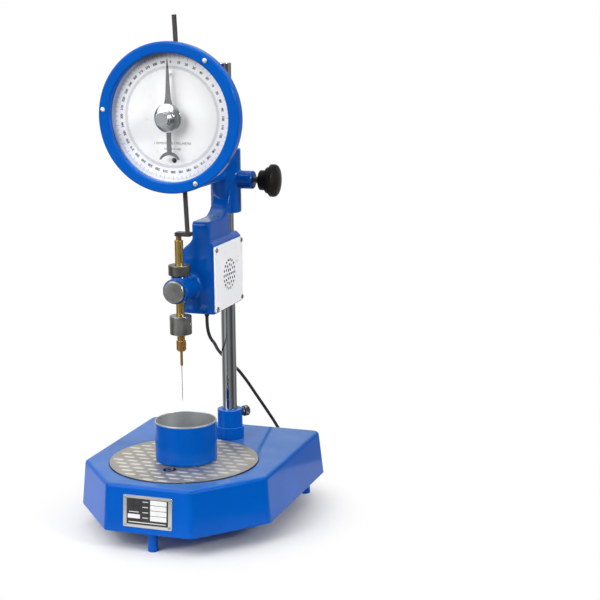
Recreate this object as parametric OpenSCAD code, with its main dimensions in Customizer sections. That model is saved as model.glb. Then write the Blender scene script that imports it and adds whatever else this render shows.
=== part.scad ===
// Laboratory penetrometer: a needle drops into a sample cup and a rack turns a dial.
// The origin is on the bench under the middle of the base, the dial faces -Y and +Z is up.

/* [Base] */
// Width of the base along its foot line
base_w = 240; // [220:1:280]
// Depth of the base along its foot line
base_d = 284; // [274:1:320]
// Width of the flat front face along its foot line
base_front_w = 107; // [90:1:130]
// Depth of the slanted front corners
base_slant_d = 78; // [60:1:95]
// Height of the cast body
base_h = 55; // [45:1:75]
// Height of the underside above the bench
base_clear = 24; // [18:1:36]
// How far each side leans in from the foot line to the top
base_draft = 5; // [2:0.5:8]
// Wall of the casting
base_wall = 7; // [5:0.5:10]
// Thickness of the casting under the table plate
base_top_wall = 8; // [6:0.5:12]
// Rounding of the top edge
base_edge_r = 5; // [2:0.5:8]
// Rounding of the upright corners
base_corner_r = 9; // [5:0.5:14]
// Distance from the front foot line back to the plunger axis
plunger_reach = 110; // [104:1:120]

/* [Feet] */
// Diameter of a foot
foot_d = 12; // [10:0.5:18]
// Diameter of the shank that holds a foot in the casting
foot_shank_d = 8; // [6:0.5:9]
// Length of the shank
foot_shank_l = 20; // [12:1:26]
// Distance of the feet from the foot line
foot_inset = 14.5; // [13:0.5:24]

/* [Table plate] */
// Diameter of the round table plate
plate_d = 176; // [160:1:184]
// Thickness of the table plate
plate_t = 8; // [6:0.5:12]
// How far the table plate stands above the base
plate_proud = 2.5; // [1:0.5:4]
// Spacing of the raised bars across the plate
bar_pitch = 18.5; // [16:0.5:24]
// Spacing of the rows of bars
bar_row = 24; // [20:0.5:30]
// Length of a bar
bar_l = 13; // [8:0.5:14]
// Width of a bar
bar_w = 3.2; // [2:0.2:5]
// Height of a bar
bar_h = 0.8; // [0.4:0.1:1.5]
// Distance of each plate screw from the middle of the plate
plate_screw_off = 43; // [40:1:60]

/* [Sample cup] */
// Inside diameter of the sample cup
cup_id = 70; // [55:1:80]
// Inside depth of the sample cup
cup_depth = 45; // [35:1:60]
// Wall of the sample cup
cup_wall = 1.5; // [1:0.1:3]
// Floor of the sample cup
cup_floor = 2.5; // [1.5:0.1:4]

/* [Column] */
// Diameter of the column
column_d = 18; // [16:0.5:20]
// Distance of the column to the right of the plunger axis
column_x = 17; // [15:0.5:19]
// Distance of the column behind the plunger axis
column_back = 108; // [106:1:114]
// Length of column above the sleeve
column_over = 102; // [98:1:160]
// Diameter of the upper tier of the column socket
socket_d = 31; // [28:0.5:36]
// Diameter of the lower tier of the column socket
socket_foot_d = 34; // [33:0.5:38]
// Height of the lower tier
socket_foot_h = 15; // [13:0.5:20]
// Height of the whole socket
socket_h = 37; // [34:0.5:50]
// Diameter of the socket thumbscrew's head
thumb_d = 13; // [9:0.5:16]

/* [Head] */
// Height of the head's underside above the rim of the cup
head_gap = 123; // [115:1:150]
// Height of the head's box
box_h = 83; // [78:1:95]
// Distance of the box front behind the plunger axis
box_back = 25; // [23:0.5:30]
// Reach of the box to the left of the column axis
box_left = 24; // [23:0.5:27]
// Reach of the box to the right of the column axis
box_right = 16; // [15:0.5:19]
// Thickness of the box walls
box_wall = 5; // [4:0.5:6]
// Thickness of the web between box and sleeve
web_w = 22; // [16:1:28]
// Height of the web above the underside
web_h = 110; // [104:1:120]
// Radius of the hollow curve in front of the sleeve
web_curve_r = 29; // [20:1:34]
// Outside diameter of the sleeve
sleeve_d = 37; // [32:0.5:42]
// Height of the sleeve
sleeve_h = 77; // [70:1:95]
// Thickness of the side cover
cover_t = 2; // [1:0.25:3]
// Distance between the cover and the top and bottom of the box
cover_inset = 2.5; // [1:0.5:4]
// Diameter of the vent pattern in the side cover
vent_d = 38; // [28:1:46]
// Diameter of one vent hole
vent_hole_d = 3.4; // [1.5:0.1:4]

/* [Clamp] */
// Diameter of the clamp boss on the sleeve
clamp_boss_d = 22; // [18:0.5:26]
// Reach of the clamp boss from the column axis
clamp_boss_reach = 36.5; // [30:0.5:42]
// Diameter of the clamp screw
clamp_screw_d = 8; // [6:0.5:10]
// Bare length of screw between boss and knob
clamp_bare = 8; // [3:0.5:10]
// Diameter of the knob's hub
knob_hub_d = 24; // [18:0.5:28]
// Length of the knob's hub
knob_hub_l = 8.5; // [6:0.5:18]
// Diameter of the knob's disc
knob_d = 39; // [32:0.5:46]
// Thickness of the knob's step, disc and dome together
knob_t = 16; // [12:0.5:22]

/* [Plunger] */
// Diameter of the brass spindle
spindle_d = 10; // [8:0.25:11]
// Length of spindle that stands above the guide nut
spindle_over = 29; // [26:1:36]
// Diameter of the guide nut
nut_d = 26; // [22:0.5:30]
// Height of the guide nut
nut_h = 12; // [9:0.5:15]
// Diameter of the clutch boss
boss_d = 30; // [28:0.5:34]
// Height of the boss axis above the head's underside
boss_up = 34; // [30:1:40]
// Reach of the boss in front of the plunger axis
boss_reach = 16.5; // [15.5:0.5:22]
// Bare spindle between boss and chuck
spindle_bare = 16; // [10:0.5:22]
// Diameter of the chuck
chuck_d = 26; // [20:0.5:30]
// Height of the chuck
chuck_h = 22; // [18:0.5:28]
// Diameter of the needle holder
holder_d = 11.5; // [10:0.25:14]
// Diameter of the holder's neck
holder_neck_d = 9; // [7.5:0.25:10]
// Length of the needle holder below the chuck
holder_l = 20.5; // [16:0.5:28]
// Diameter of the ferrule that grips the needle
ferrule_d = 3.2; // [2.4:0.1:4]
// Length of ferrule below the holder
ferrule_l = 18; // [12:0.5:24]
// Diameter of the needle
needle_d = 1; // [0.8:0.1:1.5]
// Length of needle below the ferrule
needle_l = 43.5; // [38:0.5:48]
// Length of the needle's point
point_l = 6.35; // [4:0.05:8]

/* [Release] */
// Diameter of the release button
button_d = 26; // [22:0.5:27]
// How far the button stands out of the boss
button_out = 3.5; // [3.2:0.1:6]
// Travel of the release button
press_travel = 3; // [2:0.25:3]
// Diameter of the clutch rod behind the button
clutch_d = 18; // [16:0.5:20]

/* [Dial] */
// Opening of the bezel
bezel_open_d = 145; // [140:1:150]
// Width of the bezel's ring
bezel_w = 13; // [10:0.5:18]
// Depth of the bezel
bezel_t = 9; // [7:0.5:12]
// Height of the dial centre above the head's underside
dial_up = 234; // [225:1:245]
// Distance from the plunger axis forward to the bezel's front face
dial_front = 24; // [22:0.5:28]
// Depth of the dial case behind the bezel
case_depth = 25; // [23:0.5:30]
// Thickness of the dial plate
dial_t = 1.5; // [1:0.25:2]
// Length of the pointer from its pivot to its tip
pointer_l = 66; // [50:1:68]
// Diameter of the zero knob's flange
zero_flange_d = 33; // [24:0.5:36]
// Diameter of the zero knob's grip
zero_d = 18; // [12:0.5:20]
// How far the zero knob stands in front of the bezel
zero_out = 16; // [10:0.5:22]

/* [Rack] */
// Travel of the rack for one turn of the pointer
rack_turn = 40; // [40:1:44]
// Teeth on the pinion
pinion_teeth = 20; // [18:1:22]
// Diameter of the rack rod
rack_d = 5.4; // [4.5:0.1:5.5]
// Lean of the rack rod in degrees
rack_lean = 2.4; // [0:0.1:3]
// Length of rack above the dial centre
rack_up_l = 114; // [106:1:130]
// Thickness of the foot on the rack
rack_foot_t = 4.5; // [3:0.25:6]

/* [Nameplate] */
// Width of the nameplate
name_w = 60; // [40:1:80]
// Height of the nameplate
name_h = 37; // [24:1:40]
// Thickness of the nameplate
name_t = 0.8; // [0.5:0.1:1.5]

/* [Cable] */
// Diameter of the cable
cable_d = 4; // [3.4:0.1:4.2]
// Diameter of the connector
plug_d = 15.6; // [13:0.1:17]
// Length of the connector
plug_l = 40; // [30:1:50]

/* [Hidden] */
$fn = 96;

// Finishes as the photograph shows them
BLUE = "#0a60d0";
STEEL = "#8e9092";
CHROME = "#c9ccd0";
BRASS = "#b5853c";
WHITE = "#e9eaee";
BLACK = "#1a1a1c";
ALUMINIUM = "#b9b6ae";
COPPER = "#b26a4a";

// Fits: a running fit for shafts, a loose fit for screws, a seat gap between bodies
fit = 0.05;
loose = 0.2;
seat = 0.3;

// Heights above the bench
base_top = base_clear + base_h;
plate_top = base_top + plate_proud;
plate_bed = plate_top - plate_t;
ceiling = plate_bed - base_top_wall;
cup_rim = plate_top + cup_floor + cup_depth;
head_z = cup_rim + head_gap;
boss_z = head_z + boss_up;
neck_z = boss_z + boss_d / 2 + 2;
nut_top = neck_z + nut_h;
spindle_top = nut_top + spindle_over;
chuck_top = boss_z - boss_d / 2 - spindle_bare;
chuck_z = chuck_top - chuck_h;
holder_z = chuck_z - holder_l;
ferrule_z = holder_z - ferrule_l;
tip_z = ferrule_z - needle_l;
box_top = head_z + box_h;
sleeve_z = head_z + web_h;
sleeve_top = sleeve_z + sleeve_h;
clamp_z = sleeve_z + sleeve_h * 0.52;
column_top = sleeve_top + column_over;
dial_z = head_z + dial_up;

// Places on the bench plan
plunger_y = plunger_reach - base_d / 2;
column_y = plunger_y + column_back;
box_y = plunger_y + box_back;
box_x0 = column_x - box_left;
box_x1 = column_x + box_right;

// Cup stands a little off the needle's axis, as it was put down
cup_x = 2;
cup_y = plunger_y + 3;

// Shared radii
column_r = column_d / 2;
spindle_r = spindle_d / 2;
spindle_bore_r = spindle_r + fit;
shank_r = spindle_r - 1;
sleeve_r = sleeve_d / 2;
clamp_r = clamp_screw_d / 2;
clutch_r = clutch_d / 2;
bezel_d = bezel_open_d + 2 * bezel_w;
case_r = bezel_d / 2 - 8.5;

// Screws: shank radius, head radius, head height
M3 = [1.5, 2.75, 1.8];
M4 = [2, 3.6, 2.2];
M5 = [2.5, 4.25, 4];
M6 = [3, 5, 4.4];

// Points of a circle arc from angle a to angle b
function arc(c, r, a, b, n) = [
    for (i = [0 : n])
        let (t = a + (b - a) * i / n)
        c + r * [cos(t), sin(t)]
];
function unit(v) = v / norm(v);
function total(v, i = 0) = i < len(v) ? v[i] + total(v, i + 1) : 0;

// One rounded corner of a convex outline walked counterclockwise
function corner(a, p, b, r, n) =
    let (u = unit(a - p), w = unit(b - p), half = acos(u * w) / 2)
    let (c = p + unit(u + w) * r / sin(half))
    let (from = atan2(-u[0], u[1]) + 180, sweep = 180 - 2 * half)
    arc(c, r, from, from + sweep, n);
function rounded(pts, r, n) = [
    for (i = [0 : len(pts) - 1])
        each corner(pts[(i + len(pts) - 1) % len(pts)], pts[i], pts[(i + 1) % len(pts)], r, n)
];

// Solid through a stack of rings with the same number of points, walked counterclockwise
module loft(rings) {
    n = len(rings[0]);
    last = len(rings) - 1;
    sides = [
        for (k = [0 : last - 1], i = [0 : n - 1])
            let (a = k * n + i, b = k * n + (i + 1) % n)
            each [[a, a + n, b], [b, a + n, b + n]]
    ];
    floor_face = [for (i = [0 : n - 1]) i];
    roof_face = [for (i = [n - 1 : -1 : 0]) last * n + i];
    polyhedron([for (ring = rings) each ring], concat(sides, [floor_face, roof_face]));
}

// Round tube swept along a path, its rings carried from one to the next without twist
function heading(path, i) = unit(path[min(i + 1, len(path) - 1)] - path[max(i - 1, 0)]);
function square_to(v, t) = unit(v - (v * t) * t);
function tube_rings(path, r, sides, first) = [
    for (
        i = 0, n = square_to(first, heading(path, 0));
        i < len(path);
        i = i + 1, n = square_to(n, heading(path, min(i, len(path) - 1)))
    )
        let (b = cross(heading(path, i), n))
        [for (k = [0 : sides - 1]) path[i] + r * (cos(360 * k / sides) * n + sin(360 * k / sides) * b)]
];
module tube(path, r, sides, first) {
    loft(tube_rings(path, r, sides, first));
}

// Smooth curve through hand-chosen points, with a few steps between each pair
function spline_point(a, b, c, d, t) =
    0.5 * (2 * b + (c - a) * t + (2 * a - 5 * b + 4 * c - d) * t * t + (3 * b - a - 3 * c + d) * t * t * t);
function smooth(pts, steps) = concat(
    [
        for (i = [0 : len(pts) - 2], s = [0 : steps - 1])
            spline_point(pts[max(i - 1, 0)], pts[i], pts[i + 1], pts[min(i + 2, len(pts) - 1)], s / steps)
    ],
    [pts[len(pts) - 1]]
);

// Length of a path, and the least gap of a wound tube to itself beyond its own neighbours
function path_length(path) = total([for (i = [1 : len(path) - 1]) norm(path[i] - path[i - 1])]);
function least_gap(path, d, skip) = min([
    for (i = [0 : len(path) - 1 - skip], j = [i + skip : len(path) - 1]) norm(path[i] - path[j])
]) - d;

// Moves children to the plunger, column and dial places
module at_plunger(z) {
    translate([0, plunger_y, z]) children();
}
module at_column(z) {
    translate([column_x, column_y, z]) children();
}
// In the dial's own frame X is right, Y is up and Z points out of the dial
module at_dial() {
    translate([0, plunger_y, dial_z]) rotate([90, 0, 0]) children();
}
// In the rack's own frame Y runs up along the leaning rod
module at_rack() {
    at_dial() rotate([0, 0, rack_lean]) children();
}

// Socket-head screw with its seat at z = 0 and its shank below
module cap_screw(m, l) {
    difference() {
        union() {
            cylinder(r = m[1], h = m[2]);
            translate([0, 0, -l]) cylinder(r = m[0], h = l);
        }
        translate([0, 0, m[2] / 2]) cylinder(r = m[0], h = m[2], $fn = 6);
    }
}
// Slotted screw with its seat at z = 0 and its shank below
module slot_screw(m, l) {
    difference() {
        union() {
            cylinder(r = m[1], h = m[2]);
            translate([0, 0, -l]) cylinder(r = m[0], h = l);
        }
        translate([-m[1], -m[0] / 4, m[2] / 2]) cube([2 * m[1], m[0] / 2, m[2]]);
    }
}

// Base

// Corners of the base outline, grown outwards by g
function base_corners(g) =
    let (half = base_w / 2, front = base_front_w / 2, deep = base_d / 2)
    let (turn = atan2(base_slant_d, half - front))
    let (fx = front + g * tan(turn / 2), sy = deep - base_slant_d + g * tan(45 - turn / 2))
    [
        [-fx, -deep - g], [fx, -deep - g], [half + g, -sy],
        [half + g, deep + g], [-half - g, deep + g], [-half - g, -sy]
    ];
function base_ring(g, r, z) = [for (p = rounded(base_corners(g), r, 5)) [p[0], p[1], z]];
function base_lean(z) = -base_draft * (z - base_clear) / base_h;

base_fillet_steps = 5;
base_shoulder = base_top - base_edge_r;
base_inner_r = max(base_corner_r - base_wall, 1.5);
foot_boss_wall = 6;
foot_rear_inset = foot_inset + foot_boss_wall;
foot_places = [
    [0, foot_inset - base_d / 2],
    [foot_rear_inset - base_w / 2, base_d / 2 - foot_rear_inset],
    [base_w / 2 - foot_rear_inset, base_d / 2 - foot_rear_inset]
];
foot_boss_r = foot_shank_d / 2 + foot_boss_wall;
socket_floor = 3;
socket_bolt_r = (column_r + socket_foot_d / 2) / 2;
socket_hole_l = socket_foot_h - 3;
socket_bolt_l = base_top - ceiling + socket_hole_l - 2;
name_lean = atan2(base_draft, base_h);
name_up = (base_h - base_edge_r) / 2 + 1;
rivet = [1, 1.8, 0.7];
rivet_l = 4;

// Moves children onto the leaning front face, at the middle of the nameplate
module on_front_face() {
    translate([0, -base_d / 2 + base_draft * name_up / base_h, base_clear + name_up])
        rotate([90 - name_lean, 0, 0])
            children();
}
module at_rivets() {
    for (x = [-1, 1], y = [-1, 1])
        translate([x * (name_w / 2 - 3), y * (name_h / 2 - 3), 0]) children();
}
module at_plate_screws() {
    for (s = [-1, 1]) translate([0, plunger_y + s * plate_screw_off, 0]) children();
}
module at_socket_bolts() {
    for (a = [90 : 120 : 330]) at_column(0) rotate(a) translate([socket_bolt_r, 0, 0]) children();
}

module base_casting() {
    color(BLUE) difference() {
        loft(concat(
            [base_ring(0, base_corner_r, base_clear)],
            [
                for (i = [0 : base_fillet_steps])
                    let (a = 90 * i / base_fillet_steps, in = base_edge_r * (1 - cos(a)))
                    base_ring(
                        base_lean(base_shoulder) - in,
                        max(base_corner_r - in, 1),
                        base_shoulder + base_edge_r * sin(a)
                    )
            ]
        ));
        difference() {
            loft([
                base_ring(base_lean(base_clear - 1) - base_wall, base_inner_r, base_clear - 1),
                base_ring(base_lean(ceiling) - base_wall, base_inner_r, ceiling)
            ]);
            for (p = foot_places)
                translate([p[0], p[1], base_clear - 2]) cylinder(r = foot_boss_r, h = base_h + 2);
        }
        at_plunger(plate_bed) cylinder(d = plate_d + 2 * loose, h = plate_t + 1, $fn = 180);
        for (p = foot_places)
            translate([p[0], p[1], base_clear - 1])
                cylinder(d = foot_shank_d + 2 * fit, h = foot_shank_l + 2);
        at_plate_screws() translate([0, 0, ceiling - 1]) cylinder(r = M6[0] + fit, h = base_h);
        at_socket_bolts() translate([0, 0, ceiling - 1]) cylinder(r = M5[0] + loose, h = base_h);
        on_front_face() at_rivets() translate([0, 0, -rivet_l - 1])
            cylinder(r = rivet[0] + fit, h = rivet_l + 2);
    }
}

module foot(i) {
    color(BLUE) translate([foot_places[i][0], foot_places[i][1], 0]) {
        rotate_extrude() polygon([
            [0, 0], [foot_d / 2 - 1, 0], [foot_d / 2, 1], [foot_d / 2, base_clear],
            [foot_shank_d / 2, base_clear], [foot_shank_d / 2, base_clear + foot_shank_l],
            [0, base_clear + foot_shank_l]
        ]);
    }
}

// Table plate of tread sheet: bars across it, and bars along it in the gaps between them
counterbore_d = 16;
counterbore_depth = 5;
plate_edge = 0.6;
bar_margin = 2;
bar_root = 1;
module at_bars() {
    nx = ceil(plate_d / bar_pitch / 2);
    ny = ceil(plate_d / bar_row / 2);
    for (i = [-nx : nx], j = [-ny : ny], half = [0, 0.5])
        let (p = [(i + half) * bar_pitch, (j + half) * bar_row])
        if (norm(p) + bar_l / 2 + bar_margin < plate_d / 2)
            translate([p[0], p[1], 0]) rotate(180 * half) children();
}
module table_plate() {
    sheet_t = plate_t - bar_h;
    color(ALUMINIUM) difference() {
        at_plunger(plate_bed) union() {
            rotate_extrude($fn = 180) polygon([
                [0, 0], [plate_d / 2, 0], [plate_d / 2, sheet_t - plate_edge],
                [plate_d / 2 - plate_edge, sheet_t], [0, sheet_t]
            ]);
            at_bars() translate([-bar_l / 2, -bar_w / 2, sheet_t - bar_root])
                cube([bar_l, bar_w, bar_root + bar_h]);
        }
        at_plate_screws() {
            translate([0, 0, plate_bed - 1]) cylinder(r = M6[0] + loose, h = plate_t + 2);
            translate([0, 0, plate_top - counterbore_depth])
                cylinder(d = counterbore_d, h = counterbore_depth + 1);
        }
    }
}
module plate_screws() {
    color(STEEL) at_plate_screws() translate([0, 0, plate_top - counterbore_depth])
        cap_screw(M6, plate_t - counterbore_depth + base_top_wall - 1);
}

module nameplate() {
    color(ALUMINIUM) on_front_face() difference() {
        translate([-name_w / 2, -name_h / 2, 0]) cube([name_w, name_h, name_t]);
        at_rivets() translate([0, 0, -1]) cylinder(r = rivet[0] + fit, h = name_t + 2);
    }
}
module nameplate_rivets() {
    color(STEEL) on_front_face() at_rivets() {
        translate([0, 0, -rivet_l]) cylinder(r = rivet[0], h = rivet_l + name_t);
        translate([0, 0, name_t]) cylinder(r1 = rivet[1], r2 = rivet[0], h = rivet[2]);
    }
}

// Column and its socket

thumb_turn = 55;
thumb_z = base_top + socket_h - 7;
module along_thumb() {
    at_column(thumb_z) rotate(thumb_turn) rotate([0, 90, 0]) children();
}
module column_socket() {
    color(BLUE) difference() {
        at_column(base_top) rotate_extrude() polygon([
            [0, 0], [socket_foot_d / 2, 0], [socket_foot_d / 2, socket_foot_h - 1.5],
            [socket_foot_d / 2 - 1.5, socket_foot_h], [socket_d / 2, socket_foot_h],
            [socket_d / 2, socket_h - 1], [socket_d / 2 - 1, socket_h], [0, socket_h]
        ]);
        at_column(base_top + socket_floor) cylinder(r = column_r + fit, h = socket_h);
        at_socket_bolts() translate([0, 0, base_top - 1]) cylinder(r = M5[0] + fit, h = socket_hole_l + 1);
        along_thumb() cylinder(r = M6[0] + fit, h = socket_d);
    }
}
module socket_bolts() {
    color(STEEL) at_socket_bolts() translate([0, 0, ceiling]) mirror([0, 0, 1]) cap_screw(M5, socket_bolt_l);
}
module socket_thumbscrew() {
    knurls = 24;
    color(STEEL) along_thumb() difference() {
        union() {
            translate([0, 0, column_r + seat]) cylinder(r = M6[0], h = socket_d / 2 - column_r + 4);
            translate([0, 0, socket_d / 2 + 2]) rotate_extrude() polygon([
                [0, 0], [thumb_d / 2 - 1.5, 0], [thumb_d / 2 - 1.5, 2], [thumb_d / 2, 2.5],
                [thumb_d / 2, 8.5], [thumb_d / 2 - 1, 9.5], [0, 9.5]
            ]);
        }
        for (k = [1 : knurls])
            rotate(360 * k / knurls) translate([thumb_d / 2, 0, socket_d / 2 + 4])
                cylinder(r = 0.4, h = 9, $fn = 16);
    }
}
module column() {
    color(CHROME) at_column(base_top + socket_floor) rotate_extrude() polygon([
        [0, 0], [column_r - 1, 0], [column_r, 1],
        [column_r, column_top - base_top - socket_floor - 1],
        [column_r - 1, column_top - base_top - socket_floor], [0, column_top - base_top - socket_floor]
    ]);
}

// Sample cup

module sample_cup() {
    outer = cup_id / 2 + cup_wall;
    h = cup_floor + cup_depth;
    color(BLUE) translate([cup_x, cup_y, plate_top]) rotate_extrude($fn = 180) polygon([
        [0, 0], [outer - 1, 0], [outer, 1], [outer, h - 0.4], [outer - 0.4, h],
        [outer - cup_wall + 0.4, h], [outer - cup_wall, h - 0.4], [outer - cup_wall, cup_floor + 1],
        [outer - cup_wall - 1, cup_floor], [0, cup_floor]
    ]);
}

// Head

web_x0 = column_x - web_w / 2;
sleeve_front = column_y - sleeve_r;
box_rear_r = box_right - 1;
box_rear_drop = 3;
box_end = column_y + 6;
box_skin = 3;
cavity_y1 = column_y - column_r - 9;
cavity_z0 = head_z + 6;
cavity_z1 = box_top - 6;
bore_relief = 0.5;
case_back_y = plunger_y - dial_front + bezel_t + case_depth;
flange_t = 6;
flange = [44, 64];
flange_off = 9;
flange_x0 = column_x - flange_off - flange[0] / 2;
flange_z0 = dial_z - case_r + 7;
// The arm holds the top of the sleeve and laps the flange
arm_w = 18;
arm_hold = 35;
arm_below = 12;
arm_lap = 19;
arm_z0 = min(sleeve_top - arm_hold, flange_z0 - arm_below);
arm_h = flange_z0 + arm_lap - arm_z0;
case_screw_inset = 6;
button_r = button_d / 2;
button_pocket = 8.5;
press_spare = 0.5;
pocket_floor = button_pocket - boss_reach;
button_back = pocket_floor - press_travel - press_spare;
clutch_end = spindle_r + 9;
stem_r = 2;
spigot_r = spindle_r + 2.5;
spigot_l = 4;
bush_r = spindle_r + 2;
bush_l = 5.5;
gland_x = column_x - 2;
gland_y = plunger_y + box_back + 19;
gland_r = 4;
cover_y1 = column_y + 5;
cover_screw_inset = 4;
cover_screw_l = 5;

// Moves children to the four corners of the side cover, pointing out of it
module at_cover_screws() {
    for (y = [box_y + cover_screw_inset, cover_y1 - cover_screw_inset])
        for (z = [head_z + cover_inset + cover_screw_inset, box_top - cover_inset - cover_screw_inset])
            translate([box_x1, y, z]) rotate([0, 90, 0]) children();
}
// Moves children to the screws that hold the dial case, pointing out of the dial
module at_case_screws() {
    for (x = [flange_x0 + case_screw_inset, flange_x0 + flange[0] - case_screw_inset])
        for (z = [flange_z0 + case_screw_inset, flange_z0 + flange[1] - case_screw_inset])
            translate([x, case_back_y, z]) rotate([90, 0, 0]) children();
}
module along_clamp() {
    at_column(clamp_z) rotate([0, 90, 0]) children();
}
// Runs children along +Y through the middle of the boss, from y in front of the plunger axis
module along_boss(y) {
    translate([0, plunger_y + y, boss_z]) rotate([-90, 0, 0]) children();
}

module head_box() {
    translate([0, box_end, 0]) rotate([90, 0, 0]) linear_extrude(box_end - box_y) polygon([
        [box_x0 + 1.5, head_z], [box_x1, head_z], [box_x1, box_top - 1],
        [web_x0 + web_w, box_top + 4], [web_x0, box_top + 6],
        [web_x0 - 3, box_top + 2], [box_x0 + 3, box_top - 4], [box_x0 + 0.8, box_top - 6.5],
        [box_x0, box_top - 10], [box_x0, head_z + 1.5]
    ]);
    at_column(head_z) cylinder(r = box_rear_r, h = box_h - box_rear_drop);
}
module head_web() {
    rear = sleeve_front + 2;
    translate([web_x0, 0, 0]) rotate([90, 0, 90]) linear_extrude(web_w) polygon(concat(
        [[box_y, sleeve_z - 3], [box_y, box_top - 5], [rear, box_top - 5]],
        arc([rear - web_curve_r, sleeve_z + web_curve_r], web_curve_r, 0, -90, 12),
        [[box_y + 3, sleeve_z]]
    ));
    at_column(sleeve_z) cylinder(r = sleeve_r, h = sleeve_h);
}
module head_arm() {
    translate([column_x - arm_w / 2, case_back_y + 1, arm_z0])
        cube([arm_w, column_y - column_r - 4 - case_back_y, arm_h]);
    translate([flange_x0, case_back_y, flange_z0]) cube([flange[0], flange_t, flange[1]]);
}
module head_casting() {
    color(BLUE) difference() {
        union() {
            difference() {
                head_box();
                translate([box_x0 + box_skin, box_y + box_wall, cavity_z0])
                    cube([box_x1, cavity_y1 - box_y - box_wall, cavity_z1 - cavity_z0]);
            }
            head_web();
            head_arm();
            along_clamp() cylinder(d = clamp_boss_d, h = clamp_boss_reach);
            along_boss(-boss_reach) cylinder(d = boss_d, h = boss_reach + box_back + 1);
            at_plunger(boss_z) cylinder(r = spigot_r + 2.5, h = neck_z - boss_z);
        }
        at_column(head_z - 1) cylinder(r = column_r + bore_relief, h = sleeve_z - head_z + 1);
        at_column(sleeve_z - 1) cylinder(r = column_r + fit, h = sleeve_h + 2);
        along_clamp() cylinder(r = clamp_r + fit, h = clamp_boss_reach + 1);
        along_boss(-boss_reach - 1) cylinder(r = button_r + loose, h = button_pocket + 1);
        along_boss(-boss_reach)
            cylinder(r = clutch_r, h = boss_reach + clutch_end + press_travel + press_spare);
        along_boss(0) cylinder(r = stem_r + loose, h = box_back + box_wall + 1);
        at_plunger(chuck_top) cylinder(r = spindle_bore_r + loose, h = neck_z - chuck_top + 1);
        at_plunger(neck_z - spigot_l - loose) cylinder(r = spigot_r + fit, h = spigot_l + 1);
        at_plunger(boss_z - boss_d / 2 - 1) cylinder(r = bush_r + fit, h = bush_l + 1 + loose);
        at_cover_screws() translate([0, 0, -cover_screw_l - seat])
            cylinder(r = M3[0] + fit, h = cover_screw_l + 1);
        at_case_screws() translate([0, 0, -flange_t - 1]) cylinder(r = M5[0] + fit, h = flange_t + 2);
        translate([gland_x, gland_y, head_z - 1]) cylinder(r = gland_r + fit, h = 8);
        translate([box_x0 + box_skin + box_x1 - 1, cover_mid_y, cover_mid_z]) rotate([0, 90, 0])
            cylinder(d = vent_d, h = box_x1);
    }
}

// Side cover with a round cluster of vent holes
cover_mid_y = (box_y + cover_y1) / 2;
cover_mid_z = head_z + box_h / 2;
vent_rings = 3;
module side_cover() {
    size = [cover_t, cover_y1 - box_y, box_h - 2 * cover_inset];
    color(WHITE) difference() {
        translate([box_x1, box_y, head_z + cover_inset]) cube(size);
        at_cover_screws() translate([0, 0, -1]) cylinder(r = M3[0] + loose, h = cover_t + 2);
        translate([box_x1 - 1, cover_mid_y, cover_mid_z]) rotate([0, 90, 0]) {
            cylinder(d = vent_hole_d, h = cover_t + 2, $fn = 24);
            for (ring = [1 : vent_rings], k = [1 : 6 * ring])
                rotate(60 * k / ring) translate([ring * (vent_d - vent_hole_d) / 2 / vent_rings, 0, 0])
                    cylinder(d = vent_hole_d, h = cover_t + 2, $fn = 24);
        }
    }
}
module cover_screws() {
    color(STEEL) at_cover_screws() translate([0, 0, cover_t]) slot_screw(M3, cover_t + cover_screw_l);
}

// Clamp on the sleeve

pad_l = 3;
knob_start = clamp_boss_reach + clamp_bare;
knob_grip = 8;
knob_step_l = 5;
knob_dome = 3;
module clamp_pad() {
    color(BRASS) along_clamp() translate([0, 0, column_r + seat]) cylinder(r = clamp_r, h = pad_l);
}
module clamp_screw() {
    start = column_r + seat + pad_l + seat;
    color(STEEL) along_clamp() translate([0, 0, start])
        cylinder(r = clamp_r, h = knob_start + knob_grip - start);
}
module clamp_knob() {
    hub = knob_hub_d / 2;
    rim = knob_d / 2;
    step = (hub + rim) / 2;
    disc_z = knob_hub_l + knob_step_l;
    round_r = (knob_t - knob_step_l - knob_dome) / 2;
    front_z = knob_hub_l + knob_t - knob_dome;
    color(BLACK) along_clamp() translate([0, 0, knob_start]) difference() {
        rotate_extrude() polygon(concat(
            [[0, 0], [hub - 1.5, 0], [hub, 1.5], [hub, knob_hub_l]],
            [[step - 1, knob_hub_l], [step, knob_hub_l + 1], [step, disc_z]],
            [[rim - 1, disc_z], [rim, disc_z + 1]],
            arc([rim - round_r, front_z - round_r], round_r, 0, 80, 8),
            [[rim * 0.45, front_z + knob_dome * 0.8], [0, front_z + knob_dome]]
        ));
        translate([0, 0, -1]) cylinder(r = clamp_r + fit, h = knob_grip + 1 + loose);
    }
}

// Plunger

shank_l = 15;
holder_shank_l = 5;
holder_shank_r = holder_neck_d / 2 - 1;
holder_neck_l = 8;
ferrule_grip = 6;
needle_grip = 8;
needle_flat_r = 0.08;
cap_r = spindle_r - 1.7;
cap_l = 5;
chuck_screw_z = chuck_top - 10;
module guide_nut() {
    color(STEEL) difference() {
        union() {
            at_plunger(neck_z) rotate_extrude() polygon([
                [0, 0], [nut_d / 2 - 1, 0], [nut_d / 2, 1], [nut_d / 2, nut_h - 1],
                [nut_d / 2 - 1, nut_h], [0, nut_h]
            ]);
            at_plunger(neck_z - spigot_l) cylinder(r = spigot_r, h = spigot_l + 1);
        }
        at_plunger(neck_z - spigot_l - 1) cylinder(r = spindle_bore_r, h = nut_h + spigot_l + 2);
    }
}
module spindle_bush() {
    color(BRASS) at_plunger(boss_z - boss_d / 2) difference() {
        cylinder(r = bush_r, h = bush_l);
        translate([0, 0, -1]) cylinder(r = spindle_bore_r, h = bush_l + 2);
    }
}
module plunger_spindle() {
    color(BRASS) at_plunger(chuck_top) {
        cylinder(r = spindle_r, h = spindle_top - chuck_top);
        translate([0, 0, -shank_l]) cylinder(r = shank_r, h = shank_l + 1);
    }
}
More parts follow.
